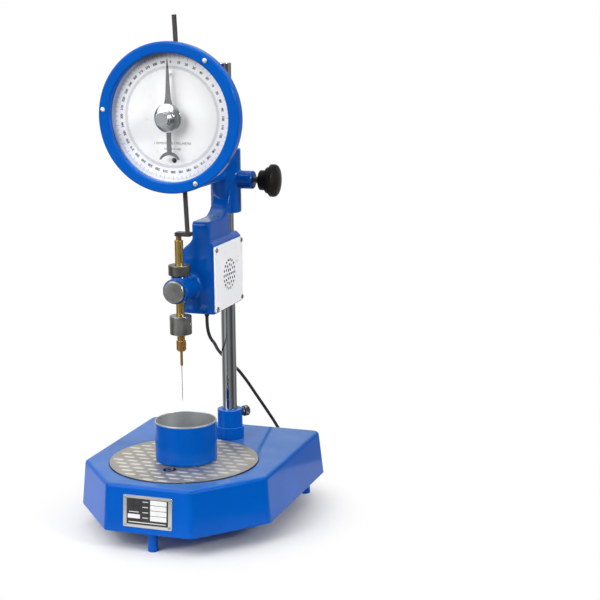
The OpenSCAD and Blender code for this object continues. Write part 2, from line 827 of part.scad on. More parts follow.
module spindle_cap() {
    color(COPPER) at_plunger(spindle_top) rotate_extrude() polygon([
        [0, 0], [cap_r, 0], [cap_r, cap_l - 1], [cap_r - 1, cap_l], [0, cap_l]
    ]);
}
module chuck() {
    color(STEEL) difference() {
        at_plunger(chuck_z) rotate_extrude() polygon([
            [0, 0], [chuck_d / 2 - 1, 0], [chuck_d / 2, 1], [chuck_d / 2, chuck_h - 1],
            [chuck_d / 2 - 1, chuck_h], [0, chuck_h]
        ]);
        at_plunger(chuck_top - shank_l) cylinder(r = shank_r + fit, h = shank_l + 1);
        at_plunger(chuck_z - 1) cylinder(r = holder_shank_r + fit, h = holder_shank_l + 1 + loose);
        at_plunger(chuck_screw_z) rotate([0, 90, 0]) cylinder(r = M4[0] + fit, h = chuck_d);
    }
}
module chuck_screw() {
    l = chuck_d / 2 - shank_r;
    color(STEEL) at_plunger(chuck_screw_z) rotate([0, 90, 0]) translate([0, 0, shank_r + seat]) difference() {
        cylinder(r = M4[0], h = l);
        translate([-M4[0], -0.4, l - 1]) cube([2 * M4[0], 0.8, 2]);
    }
}
module needle_holder() {
    color(BRASS) difference() {
        at_plunger(holder_z) union() {
            rotate_extrude() polygon([
                [0, 0], [holder_d / 2 - 1.5, 0], [holder_d / 2, 2], [holder_d / 2, holder_l - holder_neck_l],
                [holder_neck_d / 2, holder_l - holder_neck_l], [holder_neck_d / 2, holder_l], [0, holder_l]
            ]);
            translate([0, 0, holder_l - 1]) cylinder(r = holder_shank_r, h = holder_shank_l + 1);
        }
        at_plunger(holder_z - 1) cylinder(r = ferrule_d / 2 + fit, h = ferrule_grip + 1);
    }
}
module needle_ferrule() {
    color(BRASS) at_plunger(ferrule_z) difference() {
        rotate_extrude() polygon([
            [0, 0], [ferrule_d / 2 - 0.6, 0], [ferrule_d / 2, 1.2],
            [ferrule_d / 2, ferrule_l + ferrule_grip], [0, ferrule_l + ferrule_grip]
        ]);
        translate([0, 0, -1]) cylinder(d = needle_d + 2 * fit, h = needle_grip + 1);
    }
}
module needle() {
    color(CHROME) at_plunger(tip_z) rotate_extrude($fn = 32) polygon([
        [0, 0], [needle_flat_r, 0], [needle_d / 2, point_l],
        [needle_d / 2, needle_l + needle_grip], [0, needle_l + needle_grip]
    ]);
}

// Release: button, clutch rod with a slot round the spindle, solenoid behind

yoke_y = box_back + box_wall + 6;
yoke_t = 4;
armature_x = column_x - 3;
armature_r = 4;
cheek_t = 3;
spring_room = 12;
coil_spare = press_travel + 1.5;
coil_y0 = yoke_y + yoke_t + spring_room + cheek_t;
coil_l = cavity_y1 - plunger_y - coil_y0 - 2 * loose - cheek_t - coil_spare;
coil_r = 12;
armature_l = coil_y0 + coil_l - yoke_y;
spring_wire = 1.2;
spring_turns = 5;
module release_button() {
    color(STEEL) along_boss(-boss_reach - button_out) rotate_extrude() polygon([
        [0, 0], [button_r - 1.2, 0], [button_r, 1.2], [button_r, button_back + boss_reach + button_out],
        [0, button_back + boss_reach + button_out]
    ]);
}
module clutch_rod() {
    slot_w = spindle_d + 2 * loose;
    slot_y0 = -spindle_r - press_travel - seat;
    color(STEEL) union() {
        difference() {
            along_boss(button_back) cylinder(r = clutch_r - fit, h = clutch_end - button_back);
            translate([-slot_w / 2, plunger_y + slot_y0, boss_z - clutch_r])
                cube([slot_w, spindle_r + seat - slot_y0, 2 * clutch_r]);
        }
        along_boss(clutch_end - 1) cylinder(r = stem_r, h = yoke_y + yoke_t - clutch_end + 1);
    }
}
module armature() {
    yoke_x0 = -stem_r - 1.5;
    color(STEEL) difference() {
        union() {
            translate([yoke_x0, plunger_y + yoke_y, boss_z - 6]) cube([armature_x + 5 - yoke_x0, yoke_t, 12]);
            along_boss(yoke_y + 1) translate([armature_x, 0, 0]) cylinder(r = armature_r, h = armature_l);
        }
        along_boss(yoke_y - 1) cylinder(r = stem_r + fit, h = yoke_t + 2);
    }
}
// The spring is one wound wire round the armature
function spring_path(l, r) = [
    for (i = [0 : 8 * spring_turns])
        let (a = 45 * i, z = spring_wire / 2 + (l - spring_wire) * i / (8 * spring_turns))
        [r * cos(a), r * sin(a), z]
];
module release_spring() {
    l = coil_y0 - cheek_t - yoke_y - yoke_t - 2 * seat;
    path = spring_path(l, armature_r + 1.6);
    echo(spring_least_gap = least_gap(path, spring_wire, 5));
    color(STEEL) along_boss(yoke_y + yoke_t + seat) translate([armature_x, 0, 0])
        tube(path, spring_wire / 2, 6, [1, 0, 0]);
}
module solenoid_coil() {
    color(COPPER) along_boss(coil_y0 + loose) translate([armature_x, 0, 0]) rotate_extrude() polygon([
        [armature_r + seat, 0], [coil_r, 0], [coil_r, 1.5], [coil_r - 1, 1.5], [coil_r - 1, coil_l - 1.5],
        [coil_r, coil_l - 1.5], [coil_r, coil_l], [armature_r + seat, coil_l]
    ]);
}
module solenoid_frame() {
    y0 = coil_y0 - cheek_t;
    l = coil_l + 2 * loose + 2 * cheek_t;
    cheek_h = boss_z + coil_r + 2 - cavity_z0;
    color(STEEL) difference() {
        translate([armature_x - coil_r, plunger_y + y0, cavity_z0]) union() {
            cube([2 * coil_r, l, cheek_t]);
            cube([2 * coil_r, cheek_t, cheek_h]);
            translate([0, l - cheek_t, 0]) cube([2 * coil_r, cheek_t, cheek_h]);
        }
        along_boss(y0 - 1) translate([armature_x, 0, 0]) cylinder(r = armature_r + seat, h = l + 2);
    }
}

// Dial

bezel_back = dial_front - bezel_t;
case_back = bezel_back - case_depth;
case_wall = 3;
rim_r = bezel_d / 2 - 1;
dial_face = bezel_back - 4;
dial_r = bezel_open_d / 2 + 2.5;
ledge_w = 5;
ledge_t = 3;
rim_t = bezel_back - dial_face + dial_t + 2;
bezel_screw_r = (dial_r + rim_r) / 2;
bezel_screw_turns = [54, -66, -186];
dial_post = 48.5;
post_r = 3;
arbor_r = 2.5;
arbor_bush_r = 5;
rack_z = dial_face - 7;
rack_r = rack_d / 2;
pitch_r = rack_turn / (2 * PI);
tooth_pitch = rack_turn / pinion_teeth;
tooth_tip = 0.9 * tooth_pitch / PI;
tooth_root = 1.25 * tooth_pitch / PI;
tooth_sink = 0.1;
backlash = 0.3;
rack_x = pitch_r + 1;
pinion_t = 6;
rack_bush_r = rack_r + 2.5;
rack_bush_l = 8;
pointer_z = dial_front - 4;
pointer_t = 1.2;
rack_low_l = dial_z - spindle_top - cap_l - seat - rack_foot_t / 2;

module at_bezel_screws() {
    for (a = bezel_screw_turns) rotate(a) translate([bezel_screw_r, 0, 0]) children();
}
module at_dial_screws() {
    for (s = [-1, 1]) translate([0, s * dial_post, 0]) children();
}
// Where the rack passes the top wall of the case (side 1) or the bottom wall (side -1)
module at_rack_bush(side) {
    at_rack() translate([rack_x, side * (case_r - 1), rack_z]) rotate([-90, 0, 0]) children();
}
module dial_case() {
    color(BLUE) difference() {
        union() {
            difference() {
                at_dial() union() {
                    translate([0, 0, case_back]) cylinder(r = case_r, h = case_depth, $fn = 180);
                    translate([0, 0, bezel_back - rim_t]) cylinder(r = rim_r, h = rim_t, $fn = 180);
                }
                at_dial() translate([0, 0, case_back + case_wall])
                    cylinder(
                        r = case_r - case_wall,
                        h = dial_face - dial_t - ledge_t - case_back - case_wall,
                        $fn = 180
                    );
                at_dial() translate([0, 0, case_back + case_wall])
                    cylinder(r = dial_r - ledge_w, h = case_depth, $fn = 180);
                at_dial() translate([0, 0, dial_face - dial_t])
                    cylinder(r = dial_r + loose, h = case_depth, $fn = 180);
            }
            at_rack() at_dial_screws() translate([0, 0, case_back + 1])
                cylinder(r = post_r, h = dial_face - dial_t - case_back - 1);
        }
        for (side = [-1, 1]) at_rack_bush(side) translate([0, 0, -rack_bush_l])
            cylinder(r = rack_bush_r + fit, h = 2 * rack_bush_l);
        at_dial() translate([0, 0, case_back - 1]) cylinder(r = arbor_bush_r + fit, h = case_wall + 2);
        at_rack() at_dial_screws() translate([0, 0, dial_face - dial_t - 6]) cylinder(r = M3[0] + fit, h = 8);
        at_dial() at_bezel_screws() translate([0, 0, bezel_back - rim_t - 1])
            cylinder(r = M3[0] + fit, h = rim_t + 2);
        at_case_screws() translate([0, 0, -1]) cylinder(r = M5[0] + loose, h = case_wall + 2);
    }
}
module case_screws() {
    color(STEEL) at_case_screws() translate([0, 0, case_wall]) cap_screw(M5, case_wall + flange_t - 0.5);
}
module dial_plate() {
    color(WHITE) difference() {
        at_dial() translate([0, 0, dial_face - dial_t]) cylinder(r = dial_r, h = dial_t, $fn = 180);
        at_dial() translate([0, 0, dial_face - dial_t - 1]) cylinder(r = arbor_bush_r + fit, h = dial_t + 2);
        at_rack() at_dial_screws() translate([0, 0, dial_face - dial_t - 1])
            cylinder(r = M3[0] + loose, h = dial_t + 2);
    }
}
module dial_screws() {
    color(STEEL) at_rack() at_dial_screws() translate([0, 0, dial_face]) slot_screw(M3, dial_t + 4);
}
module bezel() {
    inner = bezel_open_d / 2;
    outer = bezel_d / 2;
    color(BLUE) difference() {
        at_dial() translate([0, 0, bezel_back]) rotate_extrude($fn = 180) polygon(concat(
            [[inner, 0], [outer, 0]],
            arc([outer - 3, bezel_t - 3], 3, 0, 90, 6),
            arc([inner + 2, bezel_t - 2], 2, 90, 180, 6)
        ));
        at_dial() at_bezel_screws() translate([0, 0, bezel_back - 1])
            cylinder(r = M3[0] + loose, h = bezel_t + 2);
    }
}
module bezel_screws() {
    color(CHROME) at_dial() at_bezel_screws() translate([0, 0, dial_front])
        slot_screw(M3, bezel_t + rim_t - 1);
}

// Arbor, pinion and pointer

module arbor_bushes() {
    color(BRASS) at_dial() {
        difference() {
            translate([0, 0, case_back + 0.2]) cylinder(r = arbor_bush_r, h = 7);
            translate([0, 0, case_back - 1]) cylinder(r = arbor_r + fit, h = 9);
        }
        difference() {
            union() {
                translate([0, 0, dial_face - dial_t - 1.5]) cylinder(r = arbor_bush_r, h = dial_t + 1.5);
                translate([0, 0, dial_face]) cylinder(r = arbor_bush_r + 1.5, h = 1.5);
            }
            translate([0, 0, dial_face - dial_t - 3]) cylinder(r = arbor_r + fit, h = 8);
        }
    }
}
module pointer_arbor() {
    color(STEEL) at_dial() translate([0, 0, case_back + 0.5])
        cylinder(r = arbor_r, h = dial_front + 3 - case_back - 0.5);
}
// Half width of a straight-flanked tooth, x outwards from the pitch line
function flank(x) = tooth_pitch / 4 - x * tan(20) - backlash / 4;
// Half width of the gap between two such teeth
function gap_half(x) = tooth_pitch / 2 - flank(x);
module pinion() {
    color(BRASS) at_rack() translate([0, 0, rack_z - pinion_t / 2]) difference() {
        union() {
            cylinder(r = pitch_r - tooth_root + tooth_sink, h = pinion_t);
            for (k = [0 : pinion_teeth - 1])
                rotate(360 * k / pinion_teeth) linear_extrude(pinion_t) polygon([
                    [pitch_r - tooth_root - seat, -flank(-tooth_root)],
                    [pitch_r + tooth_tip, -flank(tooth_tip)],
                    [pitch_r + tooth_tip, flank(tooth_tip)],
                    [pitch_r - tooth_root - seat, flank(-tooth_root)]
                ]);
        }
        translate([0, 0, -1]) cylinder(r = arbor_r + fit, h = pinion_t + 2);
    }
}
pointer_hub_r = 8;
pointer_tail_l = 39;
crescent_r = 13;
crescent_w = 4;
crescent_y = 1 - pointer_tail_l - crescent_r;
// Right half of the pointer from the tail to the tip
pointer_edge = [
    [2.8, -pointer_tail_l - 1], [2.8, -16], [5, 0], [5, 16], [3.7, 21], [2.9, 28], [2.1, pointer_l - 25],
    [1.6, pointer_l - 13], [0.9, pointer_l - 8], [0.3, pointer_l]
];
function both_sides(edge) = concat(edge, [for (i = [len(edge) - 1 : -1 : 0]) [-edge[i][0], edge[i][1]]]);
module pointer() {
    color(STEEL) at_dial() translate([0, 0, pointer_z]) difference() {
        union() {
            cylinder(r = pointer_hub_r, h = pointer_t);
            linear_extrude(pointer_t) polygon(both_sides(pointer_edge));
            translate([0, crescent_y, 0]) difference() {
                cylinder(r = crescent_r, h = pointer_t);
                translate([0, -crescent_w, -1]) cylinder(r = crescent_r, h = pointer_t + 2);
                translate([-2 * crescent_r, crescent_w - 4 * crescent_r, -1])
                    cube([4 * crescent_r, 4 * crescent_r, pointer_t + 2]);
            }
        }
        translate([0, 0, -1]) cylinder(r = arbor_r + fit, h = pointer_t + 2);
    }
}
module zero_knob() {
    start = pointer_z + pointer_t;
    flange_z = dial_front + 2;
    end = dial_front + zero_out;
    color(CHROME) at_dial() difference() {
        rotate_extrude() polygon(concat(
            [[0, start], [zero_flange_d / 2 - 1, start], [zero_flange_d / 2, start + 1]],
            [[zero_flange_d / 2, flange_z - 1.5], [zero_flange_d / 2 - 3, flange_z], [zero_d / 2, flange_z]],
            arc([zero_d / 2 - 2, end - 2], 2, 0, 90, 6),
            [[0, end]]
        ));
        translate([0, 0, start - 1]) cylinder(r = arbor_r + fit, h = dial_front + 4.5 - start);
    }
}

// Rack

rack_tooth_span = [-24, 44];
rack_foot_edge = 0.8;
rack_foot_reach = 2;
module rack_rod() {
    tip = pitch_r - tooth_tip;
    root = pitch_r + tooth_root;
    n0 = floor(rack_tooth_span[0] / tooth_pitch);
    n1 = ceil(rack_tooth_span[1] / tooth_pitch);
    color(STEEL) at_rack() difference() {
        translate([rack_x, -rack_low_l, rack_z]) rotate([-90, 0, 0])
            cylinder(r = rack_r, h = rack_low_l + rack_up_l);
        translate([tip - rack_d, n0 * tooth_pitch, rack_z - rack_d])
            cube([rack_d, (n1 - n0) * tooth_pitch, 2 * rack_d]);
        for (k = [n0 : n1])
            translate([0, k * tooth_pitch, rack_z - rack_d]) linear_extrude(2 * rack_d) polygon([
                [tip - seat, -gap_half(tooth_tip)], [root, -gap_half(-tooth_root)],
                [root, gap_half(-tooth_root)], [tip - seat, gap_half(tooth_tip)]
            ]);
    }
}
module rack_foot() {
    z = spindle_top + cap_l + seat;
    rod_low_x = rack_x + rack_low_l * sin(rack_lean);
    color(STEEL) difference() {
        translate([-rack_foot_reach, plunger_y - rack_z - rack_r - rack_foot_edge, z])
            cube([
                rack_foot_reach + rod_low_x + rack_r + rack_foot_edge,
                rack_z + rack_r + rack_foot_edge + cap_r,
                rack_foot_t
            ]);
        at_rack() translate([rack_x, -rack_low_l - 10, rack_z]) rotate([-90, 0, 0])
            cylinder(r = rack_r + fit, h = 30);
    }
}
module rack_bush(side) {
    color(BRASS) at_rack_bush(side) difference() {
        translate([0, 0, -rack_bush_l / 2]) cylinder(r = rack_bush_r, h = rack_bush_l);
        translate([0, 0, -rack_bush_l]) cylinder(r = rack_r + fit, h = 2 * rack_bush_l);
    }
}

// Cable: gland, free drop, put-away coil, tie and connector

cable_r = cable_d / 2;
gland_nut_l = 2.5;
gland_l = 6;
cable_start = [gland_x, gland_y, head_z - gland_l - seat];
// Hand-chosen route from the gland round the back of the column to the bench
cable_route = [
    cable_start, [15, 12, 243], [15, 12.1, 240], [15, 12.9, 233.1], [15, 15.2, 226.6], [14.9, 18.9, 220.9],
    [14.5, 24.1, 216.2], [13.6, 31, 211.8], [12, 40, 207.2], [9.9, 49, 202.6], [7.6, 58, 197.8],
    [5.6, 67, 192.7], [4.5, 76, 187.3], [4.4, 85, 181.3], [5.6, 94, 174.3], [8.3, 103, 166.7],
    [11.4, 109.5, 160.6], [15.2, 116.5, 152.8], [21.6, 127.5, 137], [29.5, 139.5, 116.5], [38.5, 151, 95],
    [47, 161, 74.5], [53.6, 170, 55], [57.4, 179, 37], [58, 189, 21.5], [54.2, 199, 10.8],
    [46.5, 207.6, 5.2], [37, 213, 3.3], [27, 215, 3], [18, 215, 3]
];
coil_mid = [10, 186];
coil_out_r = 29;
coil_in_r = 17.6;
coil_turns = 2.25;
coil_steps = 24;
coil_tail = 14;
tie_gap = 0.4;
tie_wall = 0.5;
tie_w = 5;
coil_low = cable_r + tie_gap + tie_wall + 0.1;
coil_rise = cable_d + 0.8;
plug_z = plug_d / 2;
// Radius and height of the coil after so many turns: in, half a turn of climb, out again
function coil_r_at(t) =
    t < coil_turns ? coil_out_r + (coil_in_r - coil_out_r) * t / coil_turns
    : t < coil_turns + 0.5 ? coil_in_r
    : coil_in_r + (coil_out_r - coil_in_r) * (t - coil_turns - 0.5) / coil_turns;
function coil_z_at(t) = coil_low + coil_rise * max(0, min(1, (t - coil_turns) / 0.5));
coil_all = 2 * coil_turns + 0.5;
coil_path = concat(
    [[coil_mid[0] + 2 * cable_d, coil_mid[1] + coil_out_r, coil_low]],
    [[coil_mid[0] + cable_d, coil_mid[1] + coil_out_r, coil_low]],
    [
        for (i = [0 : coil_steps * coil_all])
            let (t = i / coil_steps, a = 90 + 360 * t)
            [coil_mid[0] + coil_r_at(t) * cos(a), coil_mid[1] + coil_r_at(t) * sin(a), coil_z_at(t)]
    ],
    [[coil_mid[0] - coil_tail + cable_d, coil_mid[1] + coil_out_r, plug_z]],
    [[coil_mid[0] - coil_tail, coil_mid[1] + coil_out_r, plug_z]]
);
cable_path = smooth(cable_route, 2);

module cable_gland() {
    color(BLACK) translate([gland_x, gland_y, head_z]) {
        rotate_extrude() polygon([
            [0, -gland_l], [cable_r + 0.6, -gland_l], [cable_r + 1.6, -gland_nut_l],
            [gland_r + 1.5, -gland_nut_l], [gland_r + 1.5, 0], [gland_r, 0], [gland_r, 5.5], [0, 5.5]
        ]);
    }
}
module cable_drop() {
    echo(cable_drop_length = path_length(cable_path));
    color(BLACK) tube(cable_path, cable_r, 8, [1, 0, 0]);
}
module cable_coil() {
    echo(coil_length = path_length(coil_path), coil_least_gap = least_gap(coil_path, cable_d, 9));
    color(BLACK) tube(coil_path, cable_r, 6, [0, 0, 1]);
}
// Flat tie round both layers of the coil, on the side towards the base
module cable_tie() {
    near = coil_in_r - cable_r - tie_gap;
    deep = coil_out_r + cable_r + tie_gap - near;
    tall = coil_rise + cable_d + 2 * tie_gap;
    color(BLACK) translate([coil_mid[0], coil_mid[1], coil_low - cable_r - tie_gap])
        rotate(-90) difference() {
            translate([near - tie_wall, -tie_w / 2, -tie_wall])
                cube([deep + 2 * tie_wall, tie_w, tall + 2 * tie_wall]);
            translate([near, -tie_w, 0]) cube([deep, 2 * tie_w, tall]);
        }
}
module cable_plug() {
    r = plug_d / 2;
    sleeve_l = 14;
    color(BLACK) translate([coil_mid[0] - coil_tail, coil_mid[1] + coil_out_r, plug_z])
        rotate([0, -90, 0]) difference() {
            rotate_extrude() polygon([
                [0, 0], [cable_r + 0.8, 0], [cable_r + 2, sleeve_l - 2],
                [r - 1.5, sleeve_l], [r, sleeve_l + 2],
                [r, plug_l - 12], [r - 0.8, plug_l - 11], [r - 0.8, plug_l], [0, plug_l]
            ]);
            translate([0, 0, plug_l - 8]) cylinder(r = r - 2.2, h = 9);
        }
}

base_casting();
foot(0);  // foot_front
foot(1);  // foot_left
foot(2);  // foot_right
table_plate();
plate_screws();
nameplate();
nameplate_rivets();
column_socket();
socket_bolts();
socket_thumbscrew();
sample_cup();
column();
head_casting();
side_cover();
cover_screws();
clamp_pad();
clamp_screw();
clamp_knob();
guide_nut();
spindle_bush();
plunger_spindle();
spindle_cap();
chuck();
chuck_screw();
needle_holder();
needle_ferrule();
needle();
release_button();
clutch_rod();
armature();
release_spring();
solenoid_coil();
solenoid_frame();
dial_case();
case_screws();
dial_plate();
dial_screws();
bezel();
bezel_screws();
arbor_bushes();
pointer_arbor();
pinion();
pointer();
zero_knob();
rack_bush(1);  // rack_bush_top
rack_bush(-1);  // rack_bush_bottom
rack_rod();
rack_foot();
cable_gland();
cable_drop();
cable_coil();
cable_tie();
cable_plug();
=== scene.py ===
# %% [markdown]
# # A laboratory penetrometer
# The instrument drops a needle into a sample and shows on a dial how deep it went. The imported frame holds every
# solid in its true place. This lesson keeps that frame as it is and gives each visible piece its edges and finish.

# %% Load the frame
import math

import bmesh
import bpy
from mathutils import Matrix, Vector


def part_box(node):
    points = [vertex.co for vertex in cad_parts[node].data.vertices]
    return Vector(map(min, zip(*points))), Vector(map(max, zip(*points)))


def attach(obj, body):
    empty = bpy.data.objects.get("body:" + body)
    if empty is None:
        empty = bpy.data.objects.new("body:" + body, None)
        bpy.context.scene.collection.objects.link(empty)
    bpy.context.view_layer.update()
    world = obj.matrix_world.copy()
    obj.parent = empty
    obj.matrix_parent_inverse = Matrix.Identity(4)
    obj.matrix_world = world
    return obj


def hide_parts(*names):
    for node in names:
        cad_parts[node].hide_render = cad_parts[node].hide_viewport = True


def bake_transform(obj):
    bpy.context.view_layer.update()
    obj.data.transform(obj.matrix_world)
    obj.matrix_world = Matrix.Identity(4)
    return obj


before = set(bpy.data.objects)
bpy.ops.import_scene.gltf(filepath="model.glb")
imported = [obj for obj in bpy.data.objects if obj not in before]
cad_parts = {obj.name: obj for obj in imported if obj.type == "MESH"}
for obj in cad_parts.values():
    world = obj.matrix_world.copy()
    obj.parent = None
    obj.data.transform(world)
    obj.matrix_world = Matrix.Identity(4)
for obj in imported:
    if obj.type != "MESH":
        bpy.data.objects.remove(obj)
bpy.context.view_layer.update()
MM = 0.001

# %% [markdown]
# ## Camera
# The photograph was taken from the front right, a little above the table. A camera can be aimed by eye, or its axes
# can be set from a fit of known points such as the rim of the cup and the dial. The fit is used, because then every
# edge falls where the photograph has it. The picture is square, so the lens is given for a square sensor.

# %% Place the camera
eye = Vector((0.7169, -1.6981, 0.6423))
back = Vector((0.3170, -0.9270, 0.2006)).normalized()
level = Vector((-back.y, back.x, 0)).normalized()
roll = math.radians(-0.52)
right = level * math.cos(roll) + back.cross(level) * math.sin(roll)
up = back.cross(right)
lens = bpy.data.cameras.new("camera")
lens.lens, lens.sensor_width = 95.28, 36
camera = bpy.data.objects.new("camera", lens)
camera.matrix_world = Matrix.Translation(eye) @ Matrix((right, up, back)).transposed().to_4x4()
bpy.context.scene.collection.objects.link(camera)
bpy.context.scene.camera = camera
print("camera stands", round(eye.length, 2), "m from the origin")

# %% [markdown]
# ## How a finish is made
# Real surfaces are never one colour: paint pools and dulls, metal keeps the marks of the tool. A picture could be
# wrapped round each piece, but noise in the piece's own space needs no unwrapping and has detail at any distance.
# These helpers start a finish, add clouds of noise, and turn a cloud into a colour, a number or small dents.

# %% Helpers for finishes
def start_finish(name, metallic=0.0, coat=0.0, ior=1.5):
    """A new material, its shader and the tools to wire it: node(kind), join(output, input), place."""
    mat = bpy.data.materials.new(name)
    mat.use_nodes = True
    tree = mat.node_tree
    shader = tree.nodes["Principled BSDF"]
    shader.inputs["Metallic"].default_value = metallic
    shader.inputs["IOR"].default_value = ior
    shader.inputs["Coat Weight"].default_value = coat
    shader.inputs["Coat Roughness"].default_value = 0.06
    place = tree.nodes.new("ShaderNodeTexCoord").outputs["Object"]
    return {"mat": mat, "tree": tree, "shader": shader, "place": place}


def cloud(f, scale, detail=3.0, stretch=(1, 1, 1)):
    """Noise with features of about 1/scale metres, stretched along an axis where that number is small."""
    turn = f["tree"].nodes.new("ShaderNodeMapping")
    turn.inputs["Scale"].default_value = stretch
    noise = f["tree"].nodes.new("ShaderNodeTexNoise")
    noise.inputs["Scale"].default_value = scale
    noise.inputs["Detail"].default_value = detail
    f["tree"].links.new(f["place"], turn.inputs["Vector"])
    f["tree"].links.new(turn.outputs["Vector"], noise.inputs["Vector"])
    return noise.outputs["Fac"]


def ramp(f, value, stops):
    """Colours at stops of a value, each (position, (red, green, blue))."""
    made = f["tree"].nodes.new("ShaderNodeValToRGB")
    made.color_ramp.elements[0].position = stops[0][0]
    made.color_ramp.elements[1].position = stops[-1][0]
    for position, _ in stops[1:-1]:
        made.color_ramp.elements.new(position)
    for element, (_, colour) in zip(made.color_ramp.elements, stops):
        element.color = (*colour, 1)
    f["tree"].links.new(value, made.inputs["Fac"])
    return made.outputs["Color"]


def map_range(tree, value, start, end, low=0, high=1):
    """A node that runs from low to high while the value runs from start to end."""
    made = tree.nodes.new("ShaderNodeMapRange")
    for name, number in (("From Min", start), ("From Max", end), ("To Min", low), ("To Max", high)):
        made.inputs[name].default_value = number
    tree.links.new(value, made.inputs["Value"])
    return made


def between(f, value, low, high, start=0.3, end=0.7):
    """A number from low to high, by a value of the finish."""
    return map_range(f["tree"], value, start, end, low, high).outputs["Result"]


def over(f, amount, under, top):
    """Colour top laid over colour under by an amount that varies."""
    made = f["tree"].nodes.new("ShaderNodeMixRGB")
    f["tree"].links.new(amount, made.inputs["Fac"])
    f["tree"].links.new(under, made.inputs["Color1"])
    if isinstance(top, tuple):
        made.inputs["Color2"].default_value = (*top, 1)
    else:
        f["tree"].links.new(top, made.inputs["Color2"])
    return made.outputs["Color"]


def edges(f, start, end, amount):
    """Where outer corners of the mesh stick out, for wear along edges."""
    shape = f["tree"].nodes.new("ShaderNodeNewGeometry")
    return between(f, shape.outputs["Pointiness"], 0.0, amount, start, end)


def upward(f, amount):
    """Where faces look up, for dust that settles on them and for a painted sheen."""
    normal = f["tree"].nodes.new("ShaderNodeNewGeometry").outputs["Normal"]
    axes = f["tree"].nodes.new("ShaderNodeSeparateXYZ")
    f["tree"].links.new(normal, axes.inputs["Vector"])
    return between(f, axes.outputs["Z"], 0.0, amount, 0.7, 1.0)


def dents(f, height, depth, strength=0.5):
    """Small relief of this depth in metres."""
    made = f["tree"].nodes.new("ShaderNodeBump")
    made.inputs["Strength"].default_value = strength
    made.inputs["Distance"].default_value = depth
    f["tree"].links.new(height, made.inputs["Height"])
    f["tree"].links.new(made.outputs["Normal"], f["shader"].inputs["Normal"])


def close_finish(f, colour, roughness):
    f["tree"].links.new(colour, f["shader"].inputs["Base Color"])
    f["tree"].links.new(roughness, f["shader"].inputs["Roughness"])
    return f["mat"]


print("finish helpers ready")

# %% [markdown]
# ## How a piece is made
# Most pieces of this instrument were turned on a lathe, so a profile spun round an axis is their true shape. A plain
# cylinder would have knife edges, which no turned piece has: `eased` rounds each corner of the profile first, so that
# light catches it. `hang` gives a shape its finish and makes it move with its body in place of the plain solid.

# %% Helpers for pieces
def stand(place, axis=(0, 0, 1)):
    """A frame in millimetres with its Z along the axis."""
    turn = Vector((0, 0, 1)).rotation_difference(Vector(axis)).to_matrix().to_4x4()
    return Matrix.Translation(place) @ turn


def shape(name, bm, place=Matrix()):
    """A mesh object from a shape drawn in millimetres."""
    bmesh.ops.transform(bm, matrix=Matrix.Scale(MM, 4) @ place, verts=bm.verts)
    bmesh.ops.recalc_face_normals(bm, faces=bm.faces)
    mesh = bpy.data.meshes.new(name)
    bm.to_mesh(mesh)
    bm.free()
    obj = bpy.data.objects.new(name, mesh)
    bpy.context.scene.collection.objects.link(obj)
    return obj


def paint(obj, *finishes):
    """Finishes of a piece, in the order of its faces' finish numbers."""
    for finish in finishes:
        obj.data.materials.append(finish)


def hang(obj, finish, body, slot, *nodes, sharp=34):
    """Finish, unless it is painted already, smooth shading, body and the solids it stands for. The slot argument is not
    used.
    """
    if finish is not None:
        paint(obj, finish)
    obj.data.shade_smooth()
    obj.data.set_sharp_from_angle(angle=math.radians(sharp))
    obj.modifiers.new("flat faces stay flat", "WEIGHTED_NORMAL").keep_sharp = True
    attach(obj, body)
    if nodes:
        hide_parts(*nodes)
    print(obj.name, "has", len(obj.data.polygons), "faces and rides on", body)
    return obj


NEARLY_STRAIGHT, SIDE_SHARE = 2.8, 0.45


def eased(profile, radius, bits=4, closed=False):
    """The profile with each corner rounded, as far as the sides beside it allow."""
    points = [Vector(p) for p in profile]
    out = []
    for k, p in enumerate(points):
        a, b = points[k - 1] - p, points[(k + 1) % len(points)] - p
        if (not closed and k in (0, len(points) - 1)) or a.angle(b) > NEARLY_STRAIGHT:
            out.append(p)
            continue
        reach = min(radius / math.tan(a.angle(b) / 2), SIDE_SHARE * a.length, SIDE_SHARE * b.length)
        start, end = p + a.normalized() * reach, p + b.normalized() * reach
        for i in range(bits + 1):
            t = i / bits
            out.append(start * (1 - t) ** 2 + p * 2 * t * (1 - t) + end * t * t)
    return [tuple(p) for p in out]


def turned(profile, steps=96, closed=False, flutes=0, depth=0.0, grip=None, second=None):
    """A profile of (radius, height) spun round Z, with flutes between two heights and a second finish after a step."""
    bm = bmesh.new()
    rings = []
    for r, h in profile:
        if r < 1e-6:
            rings.append([bm.verts.new((0, 0, h))])
            continue
        fluted = grip is not None and grip[0] < h < grip[1]
        ring = []
        for i in range(steps):
            a = math.tau * i / steps
            cut = depth * (0.5 - 0.5 * math.cos(flutes * a)) if fluted else 0
            ring.append(bm.verts.new(((r - cut) * math.cos(a), (r - cut) * math.sin(a), h)))
        rings.append(ring)
    pairs = list(zip(rings, rings[1:])) + ([(rings[-1], rings[0])] if closed else [])
    for k, (low, high) in enumerate(pairs):
        for i in range(steps):
            j = (i + 1) % steps
            if len(low) == 1:
                face = bm.faces.new((low[0], high[j], high[i]))
            elif len(high) == 1:
                face = bm.faces.new((low[i], low[j], high[0]))
            else:
                face = bm.faces.new((low[i], low[j], high[j], high[i]))
            face.material_index = 1 if second and second[0] <= k < second[1] else 0
    return bm


print("piece helpers ready")
